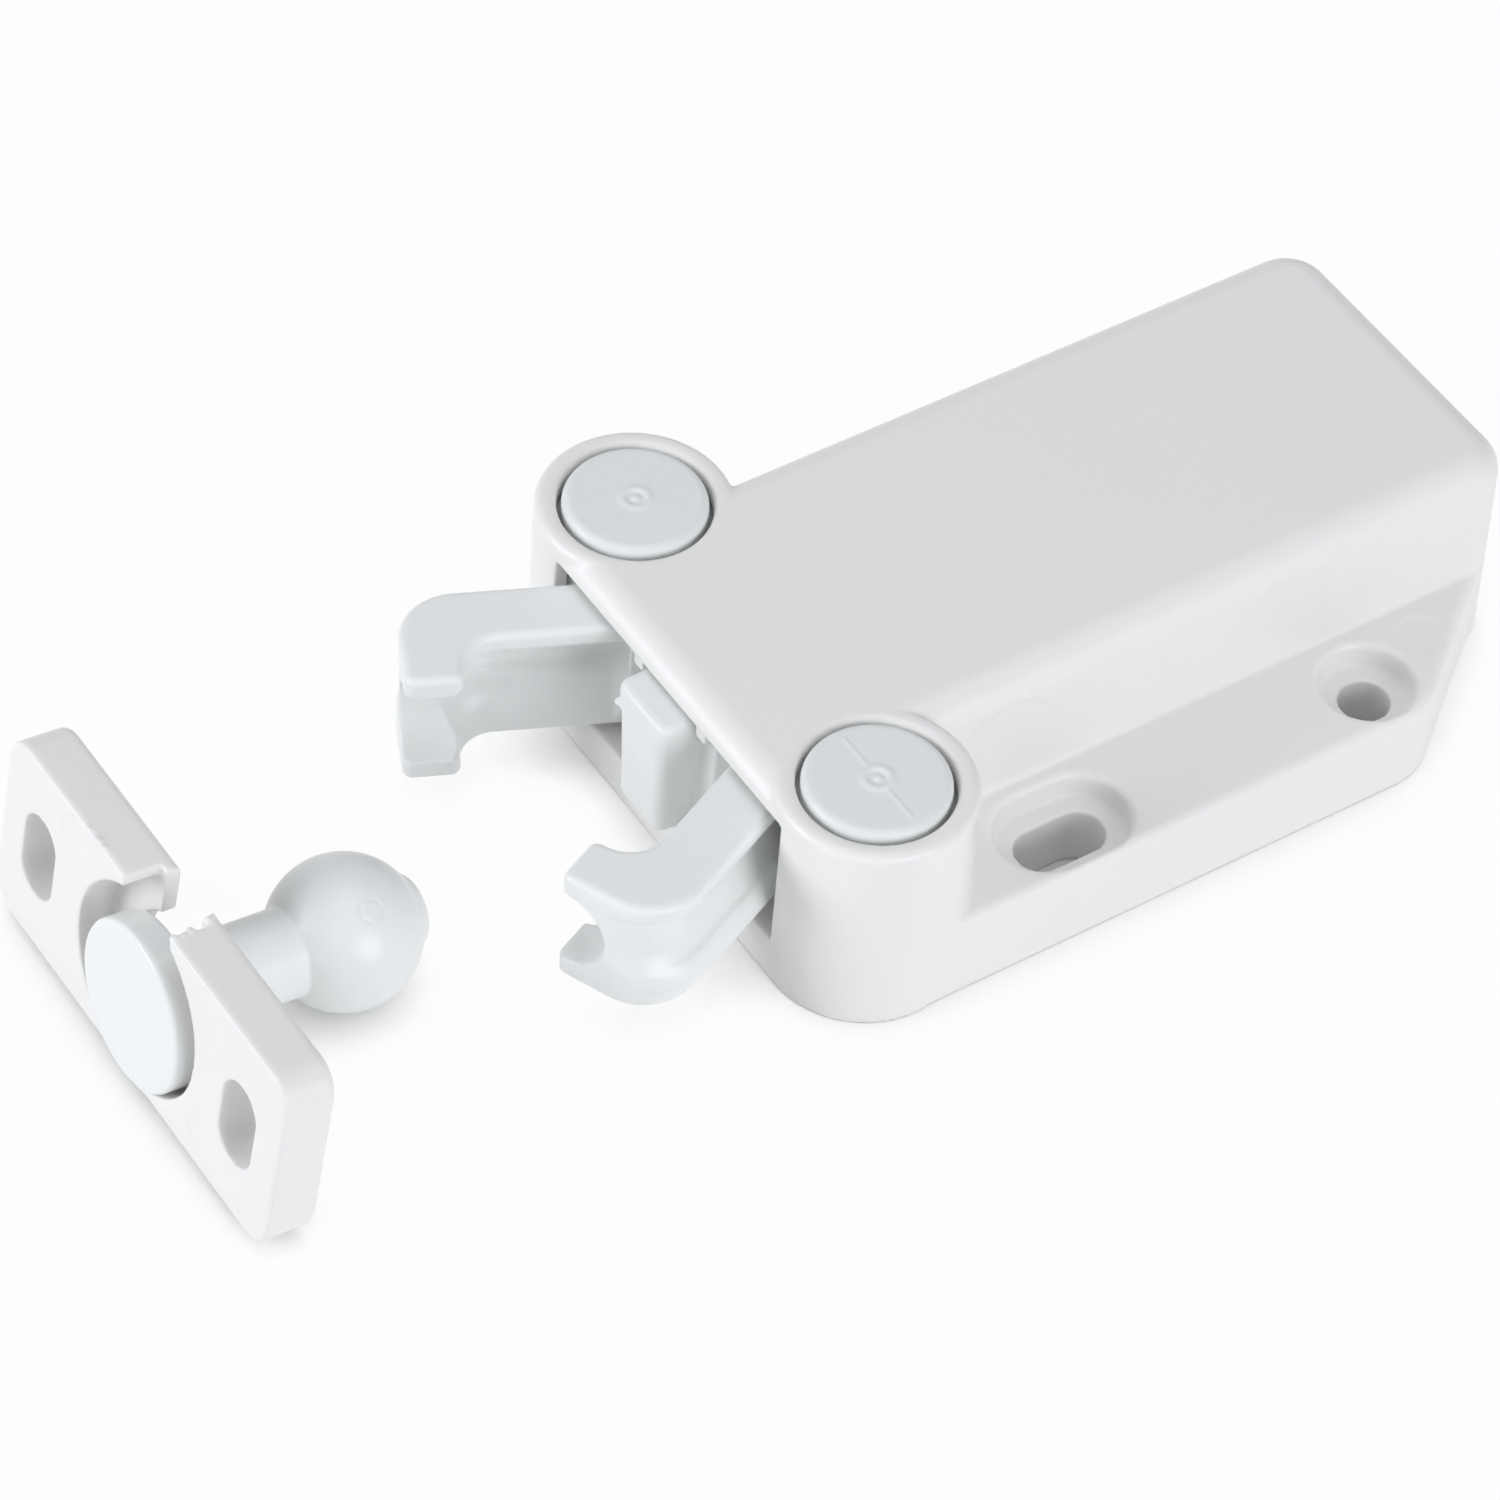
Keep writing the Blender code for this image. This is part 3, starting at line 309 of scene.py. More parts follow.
housingPlastic = plastic("housing plastic", (0.885, 0.875, 0.855), (0.870, 0.858, 0.838), 0.34)
pinPlastic = plastic("pin plastic", (0.835, 0.855, 0.845), (0.815, 0.835, 0.825), 0.38)
jawPlastic = plastic("jaw plastic", (0.875, 0.885, 0.870), (0.855, 0.868, 0.855), 0.31, grain=0.000005)
strikePlastic = plastic("strike plastic", (0.885, 0.875, 0.855), (0.865, 0.852, 0.832), 0.36)
steel = wireSteel("spring wire")
print("materials made")


# Housing

house = {
    "bossR": 6.7, "bossRound": 0.6, "right": 11.7, "left": 13.2, "lean": 0.85, "rear": 53.9, "top": 16.0,
    "topRound": 2.0, "rearCorner": 3.2, "ceiling": 14.4, "floor": 3.5, "hollowHalf": 10.2, "hollowRear": 51.5,
    "mouthHalf": 13.4, "hubRoom": 5.7, "rim": 0.5, "pinR": 5.2, "socketR": 3.3, "socketFoot": 1.0,
    "pegR": 2.0, "pegLength": 3, "ribNear": 3.15, "ribFar": 4.3, "ribDrop": 1.2, "ribLength": 1.8,
    "windowHalf": 9.5, "windowFront": 9.0, "windowRear": 48.5, "windowCorner": 1.5, "windowDeep": 2.4,
    "windowLedge": 1.5, "windowLow": 2.1, "wallPrints": ((12.5, 10.4), (35.0, 10.8)), "wallPrintR": 3.6,
}
flange = {
    "outer": 20.65, "lean": 0.25, "top": 6.6, "round": 0.7, "shoulder": 41.0, "slope": 1.257, "corner": 6.0,
    "inside": 10.95, "screwX": 16.725, "slotY": 13.8, "slotRun": 3.1, "holeY": 38.8, "screwR": 1.8,
    "headR": 3.3, "headDepth": 1.9, "topPrint": (15.1, 44.7), "topPrintR": 1.75,
}


def spreadFoot(obj, top, lean):  # walls stand a little further out at their foot
    for vert in obj.data.vertices:
        vert.co.x += math.copysign(lean * (top - vert.co.z) / top, vert.co.x)


def recess(name, x, y, radius, run, low, top, rim):  # round or slotted hole with a rounded rim
    levels = [(slotOutline(x, y, radius, run), low)]
    for step in range(9):
        angle = quarter * step / 8
        outline = slotOutline(x, y, radius + rim * (1 - math.cos(angle)), run)
        levels.append((outline, top - rim * (1 - math.sin(angle))))
    levels.append((slotOutline(x, y, radius + rim, run), top + past))
    return loft(name, levels)


def windowOutline(h, inset):  # opening in the underside for the base cover
    half, corner = h["windowHalf"] - inset, max(h["windowCorner"] - inset, gap)
    front, rear = h["windowFront"] + inset, h["windowRear"] - inset
    ends = ((half, front), (half, rear), (-half, rear), (-half, front))
    return softCorners([(x, y, corner) for x, y in ends])


def makeHousing(h, f):
    front = -h["bossR"]
    corner = h["rearCorner"]
    plan = [(pivotX, front), (pivotX, 0), (h["right"], 0)]
    plan += arcPoints((h["right"] - corner, h["rear"] - corner), corner, 0, quarter)
    plan += arcPoints((corner - h["left"], h["rear"] - corner), corner, quarter, 2 * quarter)
    plan += [(-h["left"], 0), (-pivotX, 0), (-pivotX, front)]
    shell = slab("housing shell", plan, 0, h["top"], roundHigh=h["topRound"])
    spreadFoot(shell, h["top"], h["lean"])
    end = f["shoulder"] + f["slope"] * (f["outer"] - f["inside"])
    side = slab("flange", softCorners([
        (f["outer"], 0, 0), (f["outer"], f["shoulder"], f["corner"]),
        (f["inside"], end, 0), (f["inside"], 0, 0)]), 0, f["top"], roundHigh=f["round"])
    spreadFoot(side, f["top"], f["lean"])
    adds = [side]
    enter = -math.acos((h["mouthHalf"] - pivotX) / h["hubRoom"])
    leave = math.acos((h["hollowHalf"] - pivotX) / h["hubRoom"])
    hub = arcPoints((pivotX, 0), h["hubRoom"], enter, leave)
    hollow = bothSides([(h["mouthHalf"], front - past)] + hub + [(h["hollowHalf"], h["hollowRear"])])
    cuts = [
        slab("hollow", hollow, h["floor"], h["ceiling"]),
        slab("window", windowOutline(h, 0), -past, h["windowDeep"]),
        slab("window way", windowOutline(h, h["windowLedge"]), h["windowLow"], h["floor"] + past),
    ]
    seat = f["top"] - f["headDepth"]
    for y, run in ((f["slotY"], f["slotRun"]), (f["holeY"], 0)):
        cuts.append(slab("screw way", slotOutline(f["screwX"], y, f["screwR"], run), -past, f["top"]))
        cuts.append(recess("screw recess", f["screwX"], y, f["headR"], run, seat, f["top"], h["rim"]))
    wall = (1, 0, h["lean"] / h["top"])
    for y, z in h["wallPrints"]:
        x = h["right"] + h["lean"] * (h["top"] - z) / h["top"]
        cuts.append(pinPrint((x, y, z), wall, h["wallPrintR"]))
    cuts.append(pinPrint((*f["topPrint"], f["top"]), (0, 0, 1), f["topPrintR"]))
    rear = h["hollowRear"]
    ribs = [bar("spring peg", h["pegR"], (0, rear - h["pegLength"], springZ), (0, rear + sunk, springZ))]
    for hand in (-1, 1):
        r, soft, top = h["bossR"], h["bossRound"], h["top"]
        boss = [(0, top)] + arcPoints((r - soft, top - soft), soft, quarter, 0, 8) + [(r, 0), (0, 0)]
        adds.append(lathe("boss", boss, Matrix.Translation((hand * pivotX, 0, 0))))
        cuts.append(recess("pin hole", hand * pivotX, 0, h["pinR"], 0, h["ceiling"] - past, top, h["rim"]))
        foot, rise = (hand * pivotX, 0, h["socketFoot"]), (hand * pivotX, 0, h["floor"] + past)
        cuts.append(bar("pin socket", h["socketR"], foot, rise))
        near, far = sorted((hand * h["ribNear"], hand * h["ribFar"]))
        low = (near, front + gap, h["ceiling"] - h["ribDrop"])
        ribs.append(block("nose rib", low, (far, front + gap + h["ribLength"], h["ceiling"] + sunk)))
    merge(shell, adds, "UNION")
    merge(shell, cuts, "DIFFERENCE")
    merge(shell, ribs, "UNION")
    return finishPiece(
        shell, housingPlastic, "housing", "latch", skin=0.16, passes=2, most=190000)


makeHousing(house, flange)


# Pivot pins, each with the stub where its mould was filled and a faint parting line

pin = {
    "headR": 4.9, "round": 0.6, "top": 16.4, "stub": 0.12, "ceiling": 14.4, "shankR": 3.0, "foot": 1.3,
    "mark": ((0, 0.1), (0.2, 0.08), (0.4, -0.06), (0.6, -0.02), (0.8, 0.1), (1.0, 0.08), (1.3, 0)),
    "lineHalf": 0.07, "lineFrom": 1.1, "lineShort": 1.0, "lineDeep": 0.3, "lineHigh": 0.05,
}


def makePin(p, side, lineAngle):
    flat = p["top"] - p["stub"]
    profile = [(r, flat + z) for r, z in p["mark"]]
    profile += arcPoints((p["headR"] - p["round"], flat - p["round"]), p["round"], quarter, 0, 8)
    profile += [(p["headR"], p["ceiling"]), (p["shankR"], p["ceiling"]), (p["shankR"], p["foot"] + gap)]
    profile += [(p["shankR"] - gap, p["foot"]), (0, p["foot"])]
    head = lathe("pivot pin", profile, Matrix.Translation((side * pivotX, 0, 0)))
    lines = []
    low = (p["lineFrom"], -p["lineHalf"], flat - p["lineDeep"])
    high = (p["headR"] - p["lineShort"], p["lineHalf"], flat + p["lineHigh"])
    for turn in (lineAngle, lineAngle + math.pi):
        line = block("parting line", low, high)
        line.data.transform(Matrix.Translation((side * pivotX, 0, 0)) @ Matrix.Rotation(turn, 4, "Z"))
        lines.append(line)
    merge(head, lines, "UNION")
    node = "right_pivot_pin" if side > 0 else "left_pivot_pin"
    return finishPiece(head, pinPlastic, node, "latch", skin=0.1, passes=2)


makePin(pin, -1, math.radians(119))
makePin(pin, 1, 0.0)


# Jaws, drawn from the pivot as they stand when closed and then swung open

jaw = {
    "open": math.radians(24.2), "low": 4.5, "high": 13.9, "round": 0.5, "hubR": 5.4, "bore": 3.3,
    "hubLow": 3.8, "hubHigh": 14.1, "inner": 9.4, "outer": 4.9, "hookBack": 12.826, "hookFront": 16.726,
    "hookR": 4.0, "crook": 2.6, "tip": 12.9, "tipRound": 0.7, "held": 9.079, "flange": 1.3, "neck": 3.05,
    "neckIn": 12.5, "neckRun": 3,
    "tailRoot": 4.0, "tailLength": 11.5, "tailHalf": 1.0, "tailTip": 1.25, "tailLow": 6.3, "tailHigh": 11.6,
    "dish": {"inward": 12.6, "forward": 10.8, "radius": 4.5, "flat": 0.76},
    # Heights with the share of the cove's depth, the depth of the set-back and the share of the rib's height
    "cove": 2.0, "coveStart": 1.5, "coveRound": 1.2, "coveWide": 6, "coveHook": 0.25, "coveCrook": 0.2,
    "coveLevels": ((4.9, 0.02), (5.6, 0.12), (8.9, 0.45), (9.3, 0.6), (9.8, 0.9), (10.2, 1.0)),
    "setBack": ((7.3, 0.05), (7.6, 0.3), (8.0, 0.6), (8.5, 0.9), (9.2, 1.1), (11.9, 1.1), (12.4, 0.9)),
    "setBackTop": 0.6, "setBackHook": 0.1, "setBackCorner": 0.6, "setBackReach": 3, "setBackEnd": 0.2,
    "rib": 0.7, "ribStart": 3.0, "ribCorner": 0.6, "ribDeep": 2, "ribEnd": 1.5, "ribInset": 0.02,
    "ribLevels": ((5.55, -0.15), (5.7, 0.4), (5.95, 0.8), (6.35, 1.0), (6.8, 0.85), (7.3, 0.4), (7.7, -0.15)),
}


def makeJaw(j, side):
    def plan(corners):
        return softCorners([(-side * inward, -forward, radius) for inward, forward, radius in corners])

    root = -j["tailHalf"] - sunk
    middle = (j["low"] + j["high"]) / 2
    arm = slab("jaw", plan([
        (j["outer"], root, 0), (j["inner"], root, 0), (j["inner"], j["hookBack"], j["crook"]),
        (j["tip"], j["hookBack"], j["tipRound"]), (j["tip"], j["hookFront"], j["tipRound"]),
        (j["outer"], j["hookFront"], j["hookR"])]), j["low"], j["high"], j["round"], j["round"])

    # The inner wall is hollow under the top flange and its lower half is a lip that slopes out to the foot
    levels = []
    topZ = j["high"] - j["flange"]
    for height, share in (*j["coveLevels"], (topZ, 1.0)):
        deep = j["cove"] * share
        near, far = j["inner"] - deep, j["inner"] + j["coveWide"]
        end = j["hookBack"] + j["coveHook"] * deep
        levels.append((plan([
            (near, j["coveStart"], j["coveRound"]), (far, j["coveStart"], 0), (far, end, 0),
            (near, end, j["crook"] + j["coveCrook"] * deep)]), height))
    cove = loft("cove", levels)

    # The outer wall is set back between the rib and the top flange, and that fades out round the hook
    levels = []
    near, far = j["outer"] - past, j["inner"] + j["setBackReach"]
    start, end = root - past, j["hookFront"] + j["setBackEnd"]
    for height, deep in (*j["setBack"], (topZ, j["setBackTop"])):
        wall, corner = j["outer"] + deep, j["hookR"] + j["setBackCorner"] * deep
        levels.append((plan([
            (near, start, 0), (wall, start, 0), (wall, j["hookFront"] - j["setBackHook"] * deep, corner),
            (far, end, 0), (far, end + 2 * past, 0), (near, end + 2 * past, 0)]), height))
    relief = loft("relief", levels)

    # A round rib along the foot of the set-back, fading out round the hook
    levels = []
    start, end = j["ribStart"], j["hookFront"] - j["ribInset"]
    inside, back = j["outer"] + j["ribDeep"], end - j["ribEnd"]
    for height, share in j["ribLevels"]:
        reach = j["outer"] - share * j["rib"]
        levels.append((plan([
            (inside, start, 0), (reach, start, 0), (reach, end, j["hookR"] + j["ribCorner"]),
            (j["inner"], end, 0), (j["inner"], back, 0), (inside, back, 0)]), height))
    rib = loft("rib", levels)

    # The hook is dished for the ball, and the way for the stud's neck is a round-ended slot, open at the tip
    d = j["dish"]
    seat = sphere("ball seat", (-side * pivotX, -j["held"], middle), ballR + gap)
    dish = sphere("dish", (-side * d["inward"], -d["forward"], middle), d["radius"], d["flat"])
    start, stop = -j["hookFront"] - past, j["neckRun"] - j["hookBack"]
    x, r = -side * j["neckIn"], j["neck"]
    neck = bar("neck way", r, (x, start, middle), (x, stop, middle))
    near, far = sorted((x, -side * (j["tip"] + 2 * past)))
    mouth = block("neck mouth", (near, start, middle - r), (far, stop, middle + r))

    hub = lathe("hub", [
        (j["hubR"], j["hubHigh"]), (j["hubR"], j["hubLow"]),
        (j["bore"], j["hubLow"]), (j["bore"], j["hubHigh"])], closed=True)
    swing = math.pi - j["open"] / 2 if side > 0 else j["open"] / 2
    flank = math.pi - math.asin(j["tailHalf"] / j["tailTip"])
    outline = [(j["tailRoot"], -j["tailHalf"])]
    outline += arcPoints((j["tailLength"], 0), j["tailTip"], -flank, flank) + [(j["tailRoot"], j["tailHalf"])]
    turn = Matrix.Rotation(swing, 2)
    tail = slab("tail", [tuple(turn @ Vector(p)) for p in outline], j["tailLow"], j["tailHigh"])
    merge(arm, [cove, seat, dish, neck, mouth, relief], "DIFFERENCE")
    merge(arm, [tail, hub], "UNION")
    bake(arm)
    bm = bmesh.new()
    for part in (arm, rib):  # the skin closes over both
        bm.from_mesh(part.data)
    bm.to_mesh(arm.data)
    bm.free()
    place = Matrix.Translation((side * pivotX, 0, 0)) @ Matrix.Rotation(side * j["open"], 4, "Z")
    name = "right_jaw" if side > 0 else "left_jaw"
    return finishPiece(arm, jawPlastic, name, name + "_body", skin=0.13, passes=3, place=place)


makeJaw(jaw, -1)
makeJaw(jaw, 1)


# Plunger

nose = {
    "half": 2.85, "front": -8.7, "high": 14.1, "low": 3.95, "parting": 11.9, "corner": 0.9, "round": 0.5,
    "draft": 0.35, "topDraft": 0.1, "sliderHalf": 9.9, "sliderFront": 6.6, "sliderRear": 27.1,
    "sliderLow": 3.8, "sliderHigh": 13.8, "sliderRound": 0.5, "tailY": -2.411, "notchR": 1.55, "notchX": 2.8,
    "prongHalf": 4.2, "prongThick": 1.4, "prongTip": 1.9, "neckHalf": 6.6, "neckSlope": 1.2, "boreR": 3.4,
    "boreFront": 19.6, "coreNear": 4.55, "coreFar": 8.75, "coreLength": 15, "coreLow": 6.0, "coreHigh": 12.4,
    "tipY": 16.0, "travel": 5.321, "latch": 4.821, "swing": 2.6, "track": 0.85, "trackLow": 2.8,
    "trackHigh": 5.8, "lobeDrop": 0.5, "flashUp": 0.1,
    "flash": ((-2.7, -8.45, 0.3), (0.4, -8.65, 0.2), (1.6, -8.65, 0.22), (2.75, -7.6, 0.2)),
}


def makePlunger(n):
    prongRear = n["tailY"] - n["notchR"]
    flank = n["tailY"] + n["notchR"]
    start = prongRear - n["prongThick"]
    half = [(n["half"] / 2, prongRear - n["prongTip"]), (n["prongHalf"], start), (n["prongHalf"], prongRear)]
    half += arcPoints((n["notchX"], n["tailY"]), n["notchR"], -quarter, -3 * quarter)
    half += [(n["prongHalf"], flank), (n["neckHalf"], flank + n["neckSlope"])]
    half += [(n["neckHalf"], n["sliderFront"] + sunk)]
    body = slab("plunger", bothSides(half), n["low"] + gap, n["parting"] + gap)

    def nosePlan(inset, rear):
        wide, near, corner = n["half"] - inset, n["front"] + inset, n["corner"]
        return softCorners([(wide, near, corner), (wide, rear, 0), (-wide, rear, 0), (-wide, near, corner)])

    join = prongRear - n["prongThick"] / 2
    half, front, rear, corner = n["sliderHalf"], n["sliderFront"], n["sliderRear"], n["sliderRound"]
    top = slab("nose top", nosePlan(0, front + past), n["parting"], n["high"], roundHigh=n["round"])
    low = loft("nose foot", [
        (nosePlan(n["draft"], join), n["low"]), (nosePlan(n["topDraft"], join), n["parting"] + sunk)])
    slider = slab("slider", softCorners([
        (half, front, corner), (half, rear, corner), (-half, rear, corner), (-half, front, corner)]),
        n["sliderLow"], n["sliderHigh"])
    cuts = [bar("spring bore", n["boreR"], (0, n["boreFront"], springZ), (0, rear + past, springZ))]
    for side in (-1, 1):
        near, far = sorted((side * n["coreNear"], side * n["coreFar"]))
        inside = (near, rear - n["coreLength"], n["coreLow"])
        cuts.append(block("core", inside, (far, rear + past, n["coreHigh"])))

    # Heart-shaped track under the slider
    turnY = n["tipY"] - n["travel"]
    ends = [Vector(p) for p in ((0, n["tipY"]), (-n["swing"], turnY), (n["swing"], turnY))]
    outline = []
    for index, here in enumerate(ends):
        before = here - ends[index - 1]
        after = ends[(index + 1) % 3] - here
        start = math.atan2(before.y, before.x) - quarter
        turn = math.atan2(before.x * after.y - before.y * after.x, before.dot(after))
        outline += arcPoints(here, n["track"], start, start + turn)
    track = slab("track", outline, n["trackLow"], n["trackHigh"])
    spread = math.atan2(n["swing"], n["travel"])
    apex = n["tipY"] - n["track"] / math.sin(spread)
    catch = n["tipY"] - n["latch"] + n["track"]
    wide = (apex - catch) * math.tan(spread)
    lobe = catch - n["lobeDrop"] * wide / n["swing"]
    heart = [(0, apex), (-wide, lobe), (0, catch), (wide, lobe)]
    island = slab("island", heart, n["trackLow"] - past, n["trackHigh"] + 2 * past)
    merge(track, [island], "DIFFERENCE")
    flash = [bead("flash", (x, y, n["parting"] + n["flashUp"]), size) for x, y, size in n["flash"]]
    merge(body, [top, low, slider] + flash, "UNION")
    merge(body, cuts + [track], "DIFFERENCE")
    return finishPiece(body, jawPlastic, "plunger", "plunger_body", skin=0.15, passes=3)


makePlunger(nose)


# Strike plate and its ball stud, drawn upright about the stud's axis and laid back as they rest

lean = math.radians(7.0525)
strikeRest = Matrix.Translation((0, -30.8, ballR)) @ Matrix.Rotation(-lean, 4, "X")
plate = {
    "half": 17.3, "front": 11.4, "thick": 3.8, "above": 8.5, "below": 6.2, "corner": 2.2, "round": 0.6,
    "backRound": 0.25, "rise": 1.05, "bulgeR": 7.7, "pocketR": 7.2, "frontWall": 1.1, "snapBack": 2.9,
    "snapFront": 2.2, "neckR": 4.35, "holeX": 12.6, "holeY": 1.15, "holeR": 1.9, "holeRun": 2.8,
    "prints": ((-8.8, 6.6), (7.8, 5.9), (9.0, -3.4)), "printR": 1.5,
    "burrs": (
        (2.9, 8.35, 14.9, 0.3), (2.95, 8.4, 14.3, 0.25), (2.8, 8.4, 13.7, 0.3), (2.5, 8.45, 12.2, 0.28),
        (2.3, 8.4, 11.8, 0.25), (-7.5, 8.35, 15.05, 0.25), (-6.4, 8.4, 15.05, 0.28), (-5.7, 8.3, 15.0, 0.3)),
}


def makeStrike(p):
    touch = math.asin((p["below"] + p["rise"]) / p["bulgeR"])
    outline = arcPoints((0, p["rise"]), p["bulgeR"], touch - math.pi, -touch) + softCorners([
        (p["half"], -p["below"], p["corner"]), (p["half"], p["above"], p["corner"]),
        (-p["half"], p["above"], p["corner"]), (-p["half"], -p["below"], p["corner"])])
    back = p["front"] + p["thick"]
    base = slab("strike plate", outline, p["front"], back, roundLow=p["round"], roundHigh=p["backRound"])

    def keyhole(name, radius, half, low, high):
        edge = math.asin(half / radius)
        hole = arcPoints((0, p["rise"]), radius, quarter + edge, 5 * quarter - edge)
        return slab(name, hole + [(half, p["above"] + past), (-half, p["above"] + past)], low, high)

    wall = p["front"] + p["frontWall"]
    cuts = [
        keyhole("pocket", p["pocketR"], p["snapBack"], wall, back + past),
        keyhole("neck way", p["neckR"], p["snapFront"], p["front"] - past, wall + sunk),
    ]
    for side in (-1, 1):
        hole = slotOutline(side * p["holeX"], p["holeY"], p["holeR"], p["holeRun"])
        cuts.append(slab("plate hole", hole, p["front"] - past, back + past))
    for x, y in p["prints"]:
        cuts.append(pinPrint((x, y, back), (0, 0, 1), p["printR"]))
    merge(base, cuts, "DIFFERENCE")
    burrs = [bead("burr", (x, y, z), size) for x, y, z, size in p["burrs"]]
    merge(base, burrs, "UNION")
    place = strikeRest @ Matrix.Rotation(quarter, 4, "X")
    return finishPiece(
        base, strikePlastic, "strike_plate", "latch", skin=0.15, passes=4, place=place)


makeStrike(plate)

stud = {
    "tipR": 2.55, "tipRound": 0.75, "tipStop": 0.1, "tipEase": 0.03, "neckR": 3.0, "fillet": 0.4,
    "discR": 5.85, "discThick": 2.4, "back": 15.7, "round": 0.3, "aside": 0.3,
    "gateAt": (0.5, -0.866, -0.017), "padR": 0.62, "padLow": 0.02, "ringR": 0.85, "ringDeep": 0.16,
    "dashTurn": math.radians(31), "dashHalf": 0.09, "dashHigh": 0.06, "dashDeep": 0.3,
    "dashes": ((-2.7, -1.5), (-0.6, -0.2), (0.3, 0.6), (1.2, 2.6), (3.4, 4.6)),
}


def makeStud(s):
    edge = math.acos(s["tipR"] / ballR)
    join = math.asin(s["neckR"] / ballR) - quarter
    front = s["discThick"] - s["back"]
    corner = s["discR"] - s["round"]
    tip = (s["tipR"] - s["tipRound"], ballR - s["tipRound"])
    hollow = (s["neckR"] + s["fillet"], front + s["fillet"])
    profile = [(0, ballR), *arcPoints(tip, s["tipRound"], quarter, s["tipStop"], 8)]
    profile += arcPoints((0, 0), ballR, edge - s["tipEase"], join, 40)
    profile += arcPoints(hollow, s["fillet"], 2 * quarter, 3 * quarter, 6)
    profile += arcPoints((corner, front - s["round"]), s["round"], quarter, 0, 5)
    profile += arcPoints((corner, s["round"] - s["back"]), s["round"], 0, -quarter, 5)
    profile += [(0, -s["back"])]
    body = lathe("ball stud", profile)

    # Small round gate mark high on the ball and the broken parting line across the disc
    out = Vector(s["gateAt"])
    ring = bar("gate ring", s["ringR"], out * (ballR - s["ringDeep"]), out * (ballR + past))
    merge(body, [ring], "DIFFERENCE")
    adds = [bar("gate pad", s["padR"], out * (ballR - past), out * (ballR - s["padLow"]))]
    for start, stop in s["dashes"]:
        low = (start, -s["dashHalf"], -s["back"] - s["dashHigh"])
        dash = block("dash", low, (stop, s["dashHalf"], -s["back"] + s["dashDeep"]))
        dash.data.transform(Matrix.Rotation(s["dashTurn"], 4, "Z"))
        adds.append(dash)
    merge(body, adds, "UNION")
    place = strikeRest @ Matrix.Translation((s["aside"], 0, 0)) @ Matrix.Rotation(-quarter, 4, "X")
    return finishPiece(body, jawPlastic, "ball_stud", "stud", skin=0.11, passes=3, place=place)


makeStud(stud)


# Wire pieces inside

def makeWire(name, points, radius, node, body):
    curve = bpy.data.curves.new(name, "CURVE")
    curve.dimensions = "3D"
    curve.bevel_depth = radius
    curve.bevel_resolution = 4
    curve.use_fill_caps = True
    spline = curve.splines.new("POLY")
    spline.points.add(len(points) - 1)
    for control, point in zip(spline.points, points):
        control.co = (*point, 1.0)
    drawn = bpy.data.objects.new(name + " path", curve)
    scene.collection.objects.link(drawn)
    graph = bpy.context.evaluated_depsgraph_get()
    wire = bpy.data.objects.new(name, bpy.data.meshes.new_from_object(drawn.evaluated_get(graph)))
    bpy.data.objects.remove(drawn)
    scene.collection.objects.link(wire)
    loose.append(wire)
    return finishPiece(wire, steel, node, body, kind="wire")


spring = {"coilR": 2.7, "wireR": 0.4, "turns": 12, "steps": 28, "front": 20.3, "rear": 50.8, "endPitch": 1.4}


def makeSpring(s):
    openPitch = (s["rear"] - s["front"] - 2 * s["endPitch"]) / (s["turns"] - 2)
    points = []
    for step in range(s["turns"] * s["steps"] + 1):
        turn = step / s["steps"]
        inner = min(max(turn - 1, 0), s["turns"] - 2)
        y = s["front"] + (turn - inner) * s["endPitch"] + inner * openPitch
        angle = 2 * math.pi * turn
        points.append((s["coilR"] * math.cos(angle), y, springZ + s["coilR"] * math.sin(angle)))
    wire = makeWire("main spring", points, s["wireR"], "main_spring", "latch")
    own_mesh(wire)


makeSpring(spring)

# Foot, centres of the two bends and tip, as lengths back along the body and heights
follower = {
    "wireR": 0.5, "bendR": 1.0, "pivot": (34.0, 0.6), "rear": (33.0, 1.95), "front": (17.0, 3.95),
    "tip": (16.0, 5.5),
}


def makeFollower(w):
    path = [w["pivot"]] + arcPoints(w["rear"], w["bendR"], 0, quarter, 10)
    path += arcPoints(w["front"], w["bendR"], 3 * quarter, 2 * quarter, 10) + [w["tip"]]
    makeWire("cam follower", [(0, y, z) for y, z in path], w["wireR"], "cam_follower", "follower")


makeFollower(follower)

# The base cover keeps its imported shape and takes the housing's finish
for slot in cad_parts["base_cover"].material_slots:
    slot.material = housingPlastic
print("pieces made")


# Studio

daylight = (0.94, 0.96, 1.0)


def lamp(name, place, target, size, power):
    light = bpy.data.lights.new(name, "AREA")
    light.shape = "DISK"
    light.size = size
    light.energy = power
    light.color = daylight
    obj = bpy.data.objects.new(name, light)
    obj.location = place
    obj.rotation_euler = (Vector(target) - Vector(place)).to_track_quat("-Z", "Y").to_euler()
    scene.collection.objects.link(obj)


lamp("left window", (-0.25, -0.60, 0.27), (0, 0.0, 0.005), 0.4, 2.6)
lamp("right window", (0.62, 0.05, 0.24), (0, 0.01, 0.005), 0.4, 1.95)
lamp("overhead", (0.0, 0.10, 0.7), (0, 0.01, 0.005), 0.5, 0.75)


def seenDirectly(tree):  # 1 for a look from the camera, from a gloss or through a clear thing
    path = tree.nodes.new("ShaderNodeLightPath")
    either = tree.nodes.new("ShaderNodeMath")
    either.operation = "MAXIMUM"
    tree.links.new(path.outputs["Is Camera Ray"], either.inputs[0])
    tree.links.new(path.outputs["Is Glossy Ray"], either.inputs[1])
    anyOf = tree.nodes.new("ShaderNodeMath")
    anyOf.operation = "MAXIMUM"
    tree.links.new(either.outputs["Value"], anyOf.inputs[0])
    tree.links.new(path.outputs["Is Transmission Ray"], anyOf.inputs[1])
    return anyOf.outputs["Value"]


